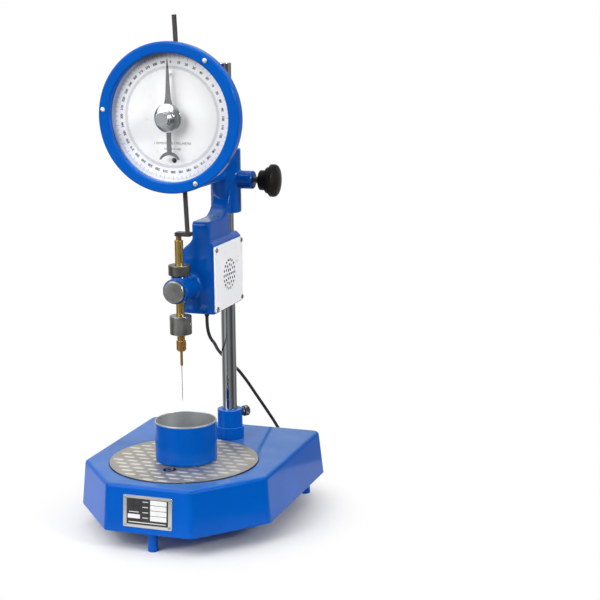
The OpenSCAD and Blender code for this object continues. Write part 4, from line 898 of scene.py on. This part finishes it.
blank = panel(0, 0, NAME_W, NAME_H, 1.5, 0, NAME_T, 0.25)
hang(shape("name_plate", blank, on_front), bright_alloy, "base", "grey_alloy", "nameplate")
field = panel(0, 0, 51, 30, 1, NAME_T, NAME_T + INK_T)
hang(shape("name_field", field, on_front), black_ink, "base", "black_plastic")
rows = [11.6 - 6.1 * row for row in range(4)]
boxes = [(13.5, y, 20, 5.5) for y in rows] + [(-16.5, -5.6, 15, 4.8), (0, -12.4, 46, 0.9)]
boxes += [(-2.5, y, 7, 0.8) for y in rows] + [(-16.5, -0.6, 12, 0.8)]
fields = [(panel(x, y, w, h, 0.35, NAME_T + INK_T, NAME_T + 2 * INK_T), on_front) for x, y, w, h in boxes]
hang(join_all("name_boxes", fields), pale_ink, "base", "white_alloy")
rivet = eased([(0, -3), (1, -3), (1, 0), (1.8, 0), (1.5, 0.5), (0.8, 0.7), (0, 0.75)], 0.25)
rivets = [
    (turned(rivet, 32), on_front @ Matrix.Translation((sx * 27, sy * 15.5, NAME_T)))
    for sx in (-1, 1) for sy in (-1, 1)
]
hang(join_all("name_rivets", rivets), screw_steel, "base", "bright_steel", "nameplate_rivets")

# %% [markdown]
# ## Column and socket
# The column is a ground steel bar with a chrome layer. Chrome is a mirror: what makes it look like chrome is what it
# reflects, so its own roughness is low and it carries only faint streaks from polishing along its length.

# %% Chrome
def chrome(name, rough):
    f = start_finish(name, metallic=1.0)
    streaks = cloud(f, 900, 3, (1, 1, 0.02))
    haze = cloud(f, 30, 4)
    colour = ramp(f, haze, [(0.3, (0.54, 0.56, 0.58)), (0.7, (0.62, 0.64, 0.66))])
    dents(f, streaks, 0.00003, 0.12)
    return close_finish(f, colour, between(f, haze, rough, rough + 0.10))


column_chrome = chrome("column chrome", 0.06)
knob_chrome = chrome("satin chrome", 0.15)
print("chrome ready")

# %% Column, socket and thumbscrew
COLUMN, COLUMN_R, COLUMN_FOOT, COLUMN_TOP = (17, 76), 9, 82.2, 541
column_profile = [(0, COLUMN_FOOT), (COLUMN_R, COLUMN_FOOT), (COLUMN_R, COLUMN_TOP), (0, COLUMN_TOP)]
bright = turned(eased(column_profile, 0.9), 128)
hang(shape("bright_column", bright, stand((*COLUMN, 0))), column_chrome, "column", "chromed_steel", "column")
tiers = [(0, 0), (17, 0), (17, 15), (15.5, 15), (15.5, 37), (9.05, 37), (9.05, 3), (0, 3)]
socket = turned(eased(tiers, 1.1), 128)
hang(shape("two_tier_socket", socket, stand((*COLUMN, BASE_TOP))), enamel_smooth, "base", "blue_iron", "column_socket")
THUMB_Z, thumb_turn = 109, math.radians(55)
thumb_axis = (math.cos(thumb_turn), math.sin(thumb_turn), 0)
thumb_profile = [(0, 9.3), (3, 9.3), (3, 17.5), (5, 17.5), (5, 19.5), (6.5, 20), (6.5, 26), (5.5, 27), (0, 27)]
thumb = turned(eased(thumb_profile, 0.4), 144, flutes=36, depth=0.5, grip=(19.8, 26.6))
thumbscrew = shape("knurled_thumbscrew", thumb, stand((*COLUMN, THUMB_Z), thumb_axis))
hang(thumbscrew, dull_steel, "thumbscrew", "bright_steel", "socket_thumbscrew")

# %% [markdown]
# ## Sample cup
# The cup is spun from aluminium and lacquered blue outside only, so its rim and inside stay bare. Two objects could
# meet at the rim, but one turned mesh with two finishes has no seam: faces after the rim take the second one.

# %% Cup
CUP_OUT, CUP_IN, CUP_H, CUP_FLOOR, CUP_SPOT = 36.5, 35, 47.5, 2.5, (2, -29)
skin = eased([(0, 0), (CUP_OUT, 0), (CUP_OUT, CUP_H - 1.6)], 1.2)
rim = eased([(CUP_OUT, CUP_H - 1.5), (CUP_OUT, CUP_H), (CUP_IN, CUP_H), (CUP_IN, CUP_FLOOR), (0, CUP_FLOOR)], 0.7)
bare = (len(skin) - 1, len(skin) + len(rim))
cup = shape("lacquered_cup", turned(skin + rim, 160, second=bare), stand((*CUP_SPOT, PLATE_TOP)))
paint(cup, enamel_smooth, spun_alloy)
hang(cup, None, "cup", "blue_alloy", "sample_cup")

# %% [markdown]
# ## Head casting
# Box, web, sleeve, bosses and the arm to the dial are one casting with soft fillets everywhere. Bevelling the edges of
# a joined mesh breaks where three shapes meet. Here the plain shapes are pushed together, remeshed into one skin of
# small even faces and relaxed, which rounds every corner as a casting is rounded; the bores are cut afterwards, crisp.

# %% Raw shapes of the head
HEAD_Z, SLEEVE_Z, SLEEVE_TOP, CLAMP_Z = 252, 362, 439, 402.04
BOSS_Y, BOSS_Z, PLUNGER_Y = -48.5, 286, -32
box_outline = [
    (-5.5, 252), (33, 252), (33, 334), (28, 339), (6, 341), (3, 337), (-4, 331), (-6.2, 328.5), (-7, 325), (-7, 253.5),
]
web_curve = [
    (30.5 + 29 * math.cos(math.radians(-7.5 * i)), 391 + 29 * math.sin(math.radians(-7.5 * i))) for i in range(13)
]
web_outline = [(-7, 359), (-7, 330), (59.5, 330)] + web_curve + [(-4, 362)]
along_x = Matrix(((0, 0, 1, 0), (1, 0, 0, 0), (0, 1, 0, 0), (0, 0, 0, 1)))


def rod(r, h):
    return turned([(0, 0), (r, 0), (r, h), (0, h)], 96)


raw_head = [
    (slab(box_outline, 0, 89), stand((0, 82, 0), (0, -1, 0))),
    (slab(web_outline[::-1], 0, 22), Matrix.Translation((6, 0, 0)) @ along_x),
    (rod(15, 80), stand((*COLUMN, HEAD_Z))),
    (rod(18.5, SLEEVE_TOP - SLEEVE_Z), stand((*COLUMN, SLEEVE_Z))),
    (bar((18, 85, 31), 0.01), Matrix.Translation((8, -21, 404))),
    (bar((44, 6, 64), 0.01), Matrix.Translation((-14, -22, 416))),
    (rod(11, 36.5), stand((*COLUMN, CLAMP_Z), (1, 0, 0))),
    (rod(15, 42.5), stand((0, BOSS_Y, BOSS_Z), (0, 1, 0))),
    (rod(10, 17), stand((0, PLUNGER_Y, BOSS_Z))),
]
print("raw shapes of the head:", len(raw_head))

# %% Cast skin and bores
FINE_NET, COARSE_NET = 0.0011, 0.0025
cast_head = join_all("cast_head", raw_head)
skin_net = cast_head.modifiers.new("one skin", "REMESH")
skin_net.mode, skin_net.voxel_size = "VOXEL", FINE_NET
relax = cast_head.modifiers.new("soft corners", "SMOOTH")
relax.factor, relax.iterations = 0.5, 8
settle(cast_head)
column_bore = [(0, 250), (9.5, 250), (9.5, SLEEVE_Z), (9.05, SLEEVE_Z + 0.4)]
column_bore += [(9.05, SLEEVE_TOP + 3), (0, SLEEVE_TOP + 3)]
boss_bore = [(0, -3), (13.2, -3), (13.2, 8.5), (9, 8.5), (9, 34), (0, 34)]
cuts = [
    (turned(column_bore, 128), stand((*COLUMN, 0))),
    (turned(boss_bore, 96), stand((0, BOSS_Y, BOSS_Z), (0, 1, 0))),
    (bar((33, 60, 71), 0.01), Matrix.Translation((-4, -2, 258))),
]
carve(cast_head, join_all("bores", cuts))
VENT_Y, VENT_Z, VENT_R = 37, 293.5, 19
late_cuts = [
    (rod(5.25, 60), stand((0, PLUNGER_Y, 262))),
    (rod(VENT_R, 8), stand((27, VENT_Y, VENT_Z), (1, 0, 0))),
]
carve(cast_head, join_all("late_bores", late_cuts))
# The head casting wears the darkened enamel copy: painted shade.
hang(cast_head, enamel_shaded_copy, "head", "blue_alloy", "head_casting", sharp=40)

# %% [markdown]
# ## Side cover
# A white lacquered plate closes the right side of the box. Four screws hold it, and a round cluster of small holes lets
# the coil inside shed its heat. Dark dots would pass for holes from the front only, so the holes are cut through, and
# their walls are inked black as painted shade.

# %% White lacquer
def white_lacquer(name, warm, rough):
    f = start_finish(name, coat=0.2)
    tone = ramp(f, cloud(f, 22, 4), [(0.3, tuple(0.93 * c for c in warm)), (0.7, warm)])
    tone = over(f, between(f, cloud(f, 130, 5), 0, 0.25, 0.62, 0.75), tone, (0.55, 0.54, 0.52))
    dents(f, cloud(f, 420, 2), 0.0002, 0.08)
    return close_finish(f, tone, between(f, cloud(f, 45, 3), rough, rough + 0.15))


cover_white = white_lacquer("white cover lacquer", (0.90, 0.90, 0.92), 0.26)
dial_white = white_lacquer("white dial paint", (0.89, 0.89, 0.89), 0.42)
print("white finishes ready")

# %% Cover with its holes and screws
COVER_X, COVER_W, COVER_H, COVER_T, VENT_HOLE = 33, 88, 78, 2, 1.7
facing_right = Matrix(((0, 0, 1, COVER_X), (1, 0, 0, 0), (0, 1, 0, 0), (0, 0, 0, 1)))
cover = shape("white_cover", panel(VENT_Y, VENT_Z, COVER_W, COVER_H, 2.5, 0, COVER_T, 0.5), facing_right)
vent_step = (VENT_R - VENT_HOLE) / 3
vent_spots = [(0.0, 0.0)]
for ring in (1, 2, 3):
    for k in range(6 * ring):
        turn = math.radians(60 * k / ring)
        vent_spots.append((vent_step * ring * math.cos(turn), vent_step * ring * math.sin(turn)))
vent_profile = [(0, -1), (VENT_HOLE, -1), (VENT_HOLE, 4), (0, 4)]
vents = [
    (turned(vent_profile, 24), facing_right @ Matrix.Translation((VENT_Y + a, VENT_Z + b, 0))) for a, b in vent_spots
]
carve(cover, join_all("vents", vents))
paint(cover, cover_white, black_ink)
# Hole walls take black ink: painted shade inside the holes.
for face in cover.data.polygons:
    from_vent = (face.center.yz - Vector((VENT_Y, VENT_Z)) * MM).length
    if abs(face.normal.x) < 0.5 and from_vent < VENT_R * 1.1 * MM:
        face.material_index = 1
hang(cover, None, "head", "white_alloy", "side_cover")
SLOT_SCREW = (2.75, 1.8, 1.5)
cover_spots = [stand((COVER_X + COVER_T, y, z), (1, 0, 0)) for y in (-3, 77) for z in (258.5, 328.5)]
hang(screws("cover_slot_screws", *SLOT_SCREW, 6, cover_spots), plain_steel, "head", "bright_steel", "cover_screws")
print("vent holes:", len(vent_spots))

# %% [markdown]
# ## Clamp
# A black knob on the right of the sleeve locks the head on the column. It is moulded from phenolic resin, which shows
# a deep gloss with faint brown clouds. Hub, hollow throat and domed grip come from one turned profile.

# %% Phenolic resin and knob
def phenolic(name):
    f = start_finish(name, ior=1.2)
    marbled = cloud(f, 55, 6)
    tone = ramp(f, marbled, [(0.35, (0.006, 0.006, 0.006)), (0.7, (0.020, 0.017, 0.014))])
    tone = over(f, edges(f, 0.52, 0.60, 0.35), tone, (0.05, 0.047, 0.043))
    dents(f, cloud(f, 700, 2), 0.0001, 0.10)
    return close_finish(f, tone, between(f, marbled, 0.34, 0.48))


resin = phenolic("black phenolic resin")
KNOB_X = 61.5
knob_profile = eased([(0, 0), (12, 0), (12, 8.5), (15.75, 8.5), (15.75, 13.5), (19.5, 13.5), (19.5, 17.5)], 1.0, 4)
for step in range(1, 9):
    bend = math.radians(10 * step)
    knob_profile.append((15.5 + 4 * math.cos(bend), 17.5 + 4 * math.sin(bend)))
knob_profile += [(13, 22.2), (8.8, 23.6), (4.4, 24.3), (0, 24.5)]
knob = shape("clamp_grip", turned(knob_profile, 128), stand((KNOB_X, COLUMN[1], CLAMP_Z), (1, 0, 0)))
hang(knob, resin, "clamp", "black_bakelite", "clamp_knob")
thread = [(0, 12.6), (4, 12.6)]
for turn in range(12):
    thread += [(4, 35.8 + 0.8 * turn), (3.55, 36.2 + 0.8 * turn)]
thread += [(4, 45.4), (4, 52.5), (0, 52.5)]
clamp_rod = shape("clamp_thread", turned(thread, 48), stand((*COLUMN, CLAMP_Z), (1, 0, 0)))
hang(clamp_rod, plain_steel, "clamp", "bright_steel", "clamp_screw")

# %% [markdown]
# ## Plunger
# A brass spindle slides through the head. Below it hang a steel chuck, a brass holder and ferrule, and the hardened
# needle. Brass darkens where it is not rubbed, so its finish mixes a bright and a tarnished tone.

# %% Brass
def brass(name, dull, clean, rough):
    f = start_finish(name, metallic=1.0)
    tarnish = cloud(f, 90, 5)
    brushed = cloud(f, 1300, 2, (1, 1, 0.06))
    tone = ramp(f, tarnish, [(0.3, dull), (0.68, clean)])
    tone = over(f, edges(f, 0.53, 0.62, 0.5), tone, (0.80, 0.56, 0.22))
    dents(f, brushed, 0.00005, 0.2)
    return close_finish(f, tone, between(f, tarnish, rough + 0.15, rough))


rubbed_brass = brass("rubbed brass", (0.50, 0.33, 0.09), (0.74, 0.53, 0.17), 0.22)
bronze = brass("bronze", (0.46, 0.24, 0.07), (0.68, 0.40, 0.14), 0.24)
copper = brass("copper", (0.40, 0.20, 0.13), (0.62, 0.34, 0.22), 0.25)
print("brass finishes ready")

# %% Turned pieces of the plunger
on_plunger = stand((0, PLUNGER_Y, 0))
spindle = eased([(0, 240), (4, 240), (4, 255), (5, 255), (5, 344), (0, 344)], 0.5)
hang(shape("brass_spindle", turned(spindle, 64), on_plunger), rubbed_brass, "plunger", "brass", "plunger_spindle")
cap = eased([(0, 344), (3.3, 344), (3.3, 349), (0, 349)], 0.8)
hang(shape("spindle_tip", turned(cap, 48), on_plunger), copper, "plunger", "copper", "spindle_cap")
nut = eased([(0, 299), (7.5, 299), (7.5, 303), (13, 303), (13, 315), (5.1, 315), (5.1, 300), (0, 300)], 0.9)
hang(shape("round_guide_nut", turned(nut, 96), on_plunger), dull_steel, "head", "bright_steel", "guide_nut")
chuck = eased([(0, 233), (13, 233), (13, 255), (4.1, 255), (4.1, 240), (0, 240)], 0.9)
hang(shape("steel_chuck", turned(chuck, 96), on_plunger), plain_steel, "plunger", "grey_alloy", "chuck")
holder = [(0, 212.5), (4.3, 212.5), (5.75, 214.5), (5.75, 225), (4.5, 225)]
holder = eased(holder + [(4.5, 233), (3.5, 233), (3.5, 238), (0, 238)], 0.4)
hang(shape("brass_holder", turned(holder, 64), on_plunger), bronze, "plunger", "brass", "needle_holder")
ferrule = eased([(0, 194.5), (1, 194.5), (1.6, 195.7), (1.6, 218.5), (0, 218.5)], 0.25)
hang(shape("brass_ferrule", turned(ferrule, 40), on_plunger), bronze, "plunger", "brass", "needle_ferrule")
needle = [(0, 151), (0.08, 151), (0.5, 157.35), (0.5, 202.5), (0, 202.5)]
hang(shape("hard_needle", turned(needle, 32), on_plunger), nickel, "plunger", "chromed_steel", "needle")

# %% [markdown]
# ## Release button
# A steel button in the front boss frees the plunger. Its face is slightly crowned and brushed in circles, its edge
# worn by thumbs.

# %% Button
BUTTON_Y = -52
button_profile = [(0, -0.25), (6, -0.2), (11.6, 0.1), (13, 1.3), (13, 8.5), (0, 8.5)]
button = shape("round_button", turned(eased(button_profile, 0.5), 96), stand((0, BUTTON_Y, BOSS_Z), (0, 1, 0)))
hang(button, plain_steel, "release", "bright_steel", "release_button")

# %% [markdown]
# ## Dial
# The dial is a shallow blue case with a bezel screwed on its rim. Both are turned. All dial pieces are drawn in the
# dial's own frame, where Z comes out of the face, so that radii and heights can be read off directly.

# %% Case and bezel
DIAL_Z, RACK_X = 486, 7.366
on_dial = stand((0, PLUNGER_Y, DIAL_Z), (0, -1, 0))
RACK_LEAN = Matrix.Rotation(math.radians(2.4), 4, "Z")
case_ring = [(5.05, -10), (77, -10), (77, 7.5), (84.5, 7.5), (84.5, 15), (75.2, 15), (75.2, 9.5)]
case_ring += [(70, 9.5), (70, 6.5), (74, 6.5), (74, -7), (5.05, -7)]
case = shape("round_case", turned(eased(case_ring, 1.2, 4, closed=True), 192, closed=True), on_dial)
for side in (1, -1):
    middle = on_dial @ RACK_LEAN @ Matrix.Translation((RACK_X, side * 76 - 7, 4))
    carve(case, shape("bush_hole", rod(5.05, 14), middle @ Matrix.Rotation(math.radians(-90), 4, "X")))
hang(case, enamel_smooth, "head", "blue_alloy", "dial_case")
BEZEL_IN, BEZEL_OUT, BEZEL_LOW, BEZEL_TOP, BEZEL_SCREW_R = 72.5, 85.5, 15, 24, 79.75
bezel_front = [(BEZEL_OUT, 15.2), (BEZEL_OUT, BEZEL_TOP), (BEZEL_IN, BEZEL_TOP), (BEZEL_IN, 15.2)]
bezel_ring = [(BEZEL_IN, BEZEL_LOW), (BEZEL_OUT, BEZEL_LOW)] + eased(bezel_front, 2.6, 7)[1:-1]
hang(shape("blue_bezel", turned(bezel_ring, 224, closed=True), on_dial), enamel_smooth, "head", "blue_alloy", "bezel")
bezel_spots = [
    on_dial @ Matrix.Rotation(math.radians(a), 4, "Z") @ Matrix.Translation((BEZEL_SCREW_R, 0, BEZEL_TOP))
    for a in (54, -66, -186)
]
hang(screws("bezel_slot_screws", *SLOT_SCREW, 8, bezel_spots), nickel, "head", "chromed_steel", "bezel_screws")

# %% [markdown]
# ## Graduation
# One turn is divided into four hundred tenths of a millimetre. Painting the scale as an image would need a texture; as
# thin strokes of ink just above the paint it stays sharp at any distance. Numbers are text turned into mesh, one for
# every ten divisions, and an inner ring of paler strokes repeats the scale.

# %% Dial plate and strokes
FACE = 11.0
INK_Z = FACE + INK_T
plate_profile = eased([(5.05, 9.5), (75, 9.5), (75, FACE), (5.05, FACE)], 0.2, 3, closed=True)
white_dial = shape("white_dial", turned(plate_profile, 192, closed=True), on_dial)
hang(white_dial, dial_white, "head", "white_alloy", "dial_plate")


def stroke(bm, degrees, r0, r1, width):
    """A radial stroke of ink, degrees clockwise from the top."""
    a = math.radians(90 - degrees)
    out, side = Vector((math.cos(a), math.sin(a))), Vector((-math.sin(a), math.cos(a))) * width / 2
    spots = [out * r0 - side, out * r1 - side, out * r1 + side, out * r0 + side]
    low = [bm.verts.new((p.x, p.y, FACE - 0.02)) for p in spots]
    high = [bm.verts.new((p.x, p.y, INK_Z)) for p in spots]
    bm.faces.new(high)
    bm.faces.new(low[::-1])
    for i in range(4):
        bm.faces.new((low[i], low[(i + 1) % 4], high[(i + 1) % 4], high[i]))


DIVISIONS, OUTER_R, INNER_R = 400, (69, 71), (54.6, 57.8)
outer_scale, inner_scale = bmesh.new(), bmesh.new()
for k in range(DIVISIONS):
    turn = 360 * k / DIVISIONS
    longer = 2.6 if k % 10 == 0 else 1.4 if k % 5 == 0 else 0
    stroke(outer_scale, turn, OUTER_R[0] - longer, OUTER_R[1], 0.30 if longer else 0.14)
    stroke(inner_scale, turn, INNER_R[0] if k % 10 else INNER_R[0] - 1, INNER_R[1], 0.32)
hang(shape("outer_scale", outer_scale, on_dial), black_ink, "head", "black_plastic")
hang(shape("inner_scale", inner_scale, on_dial), grey_ink, "head", "white_alloy")

# %% Numbers
def number_mesh(text, size, bold=0.0):
    """A number as a flat mesh, from the built-in letter shapes."""
    curve = bpy.data.curves.new("number", "FONT")
    curve.body, curve.size, curve.extrude, curve.offset = text, size, 0.03, bold
    curve.align_x, curve.align_y = "CENTER", "CENTER"
    letters = bpy.data.objects.new("number", curve)
    bpy.context.scene.collection.objects.link(letters)
    bpy.context.view_layer.update()
    made = bmesh.new()
    made.from_mesh(letters.evaluated_get(bpy.context.evaluated_depsgraph_get()).to_mesh())
    bpy.data.objects.remove(letters)
    return made


NUMBER_R, NUMBER_SIZE, NUMBER_BOLD, LETTER_Z = 62, 3.8, 0.16, FACE + 0.02
numbers = []
for k in range(0, DIVISIONS, 10):
    turn = Matrix.Rotation(math.radians(-360 * k / DIVISIONS), 4, "Z")
    number = number_mesh(str(k), NUMBER_SIZE, NUMBER_BOLD)
    numbers.append((number, on_dial @ turn @ Matrix.Translation((0, NUMBER_R, LETTER_Z))))
for text, size, y in (("1 DIVISION = 0.1 MILLIMETRE", 3.6, -29.5), ("RANGE 0 - 400", 3.2, -36)):
    numbers.append((number_mesh(text, size), on_dial @ Matrix.Translation((0, y, LETTER_Z))))
hang(join_all("dial_numbers", numbers), black_ink, "head", "black_plastic")
print("numbers on the dial:", len(numbers))

# %% [markdown]
# ## Pointer and zero knob
# The pointer is stamped from steel sheet, with a crescent for a tail. It takes its outline from the frame's own solid,
# copied so that its edges can be broken with a small bevel. The chromed knob in front sets it to zero by friction.

# %% Pointer
def broken_edges(node, name, width):
    """A copy of a solid with its sharp edges broken."""
    bm = bmesh.new()
    bm.from_mesh(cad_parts[node].data)
    bmesh.ops.remove_doubles(bm, verts=bm.verts, dist=1e-6)
    bmesh.ops.dissolve_limit(bm, angle_limit=math.radians(1), verts=bm.verts, edges=bm.edges)
    bmesh.ops.transform(bm, matrix=Matrix.Scale(1 / MM, 4), verts=bm.verts)
    obj = shape(name, bm)
    bevel = obj.modifiers.new("broken edges", "BEVEL")
    bevel.width, bevel.segments, bevel.limit_method = width * MM, 2, "ANGLE"
    settle(obj)
    return obj


TIP_FROM, TIP_FULL = 0.541, 0.543


def pointer_paint(name):
    """Grey lacquer on steel sheet, with the last stretch to the tip dipped in black."""
    f = start_finish(name, metallic=0.35)
    tone = ramp(f, cloud(f, 120, 4), [(0.3, (0.13, 0.135, 0.14)), (0.7, (0.19, 0.195, 0.20))])
    axes = f["tree"].nodes.new("ShaderNodeSeparateXYZ")
    f["tree"].links.new(f["place"], axes.inputs["Vector"])
    tone = over(f, between(f, axes.outputs["Z"], 0, 1, TIP_FROM, TIP_FULL), tone, (0.012, 0.012, 0.013))
    dents(f, cloud(f, 1500, 2), 0.00004, 0.2)
    return close_finish(f, tone, between(f, cloud(f, 80, 3), 0.30, 0.45))


pointer_grey = pointer_paint("pointer grey")
hang(broken_edges("pointer", "stamped_pointer", 0.2), pointer_grey, "pointer", "bright_steel", "pointer")
grip_profile = [(0, 21.2), (15.5, 21.2), (16.5, 22.2), (16.4, 23.4), (14.6, 24.8)]
grip_profile += [(12, 25.7), (9, 26), (9, 39), (8, 40), (0, 40)]
grip = turned(eased(grip_profile, 0.8), 192, flutes=32, depth=0.35, grip=(27.2, 38.8))
hang(shape("chromed_zero_knob", grip, on_dial), knob_chrome, "pointer", "chromed_steel", "zero_knob")
DIAL_SCREW_R = 48.5
dial_screws = [("dial_screw_low", -1, dark_steel, ["dial_screws"]), ("dial_screw_high", 1, dial_white, [])]
for name, side, finish, nodes in dial_screws:
    spot = on_dial @ RACK_LEAN @ Matrix.Translation((0, side * DIAL_SCREW_R, FACE))
    hang(screws(name, *SLOT_SCREW, 4, [spot]), finish, "head", "bright_steel", *nodes)

# %% [markdown]
# ## Rack
# A toothed rod leans through the dial case and stands on the spindle. Rod and foot have a black oxide skin. The rod
# could be drawn anew, but its solid already has the teeth, so it stays and only gets a finish. The foot is a copy with
# broken edges. Bushes, pinion and the works inside the box are dressed as the rod is.

# %% Rack
hang(broken_edges("rack_foot", "rack_shoe", 0.4), black_oxide, "rack", "bright_steel", "rack_foot")


def dress(finish, *nodes):
    """Gives solids of the frame a finish of this lesson."""
    for node in nodes:
        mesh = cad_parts[node].data
        mesh.materials.clear()
        mesh.materials.append(finish)
    print(finish.name, "on", len(nodes), "solids of the frame")


dress(black_oxide, "rack_rod")
dress(rubbed_brass, "rack_bush_top", "rack_bush_bottom", "arbor_bushes", "spindle_bush", "clamp_pad", "pinion")
dress(plain_steel, "pointer_arbor", "clutch_rod", "armature", "solenoid_frame")
dress(plain_steel, "chuck_screw", "case_screws", "socket_bolts")
dress(copper, "solenoid_coil")

# %% [markdown]
# ## Return spring
# Behind the button a wire spring pushes the release forward again. It sits inside the box and is squeezed when the
# button goes in. It is made as a wound tube along its axis.

# %% Spring
SPRING_TURNS, SPRING_STEPS, SPRING_R, WIRE_R = 5, 24, 5.6, 0.6
spring_lo, spring_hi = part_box("release_spring")
spring_y0, spring_y1 = spring_lo.y / MM + WIRE_R, spring_hi.y / MM - WIRE_R
spring_x = (spring_lo.x + spring_hi.x) / 2 / MM
coil_path = []
for i in range(SPRING_STEPS * SPRING_TURNS + 1):
    a = math.tau * i / SPRING_STEPS
    y = spring_y0 + (spring_y1 - spring_y0) * i / (SPRING_STEPS * SPRING_TURNS)
    coil_path.append(Vector((spring_x + SPRING_R * math.cos(a), y, BOSS_Z + SPRING_R * math.sin(a))))
spring = shape("return_spring", tube(coil_path, WIRE_R, 8))
paint(spring, plain_steel)
spring.data.shade_smooth()
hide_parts("release_spring")
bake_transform(spring)
print("spring turns:", SPRING_TURNS)
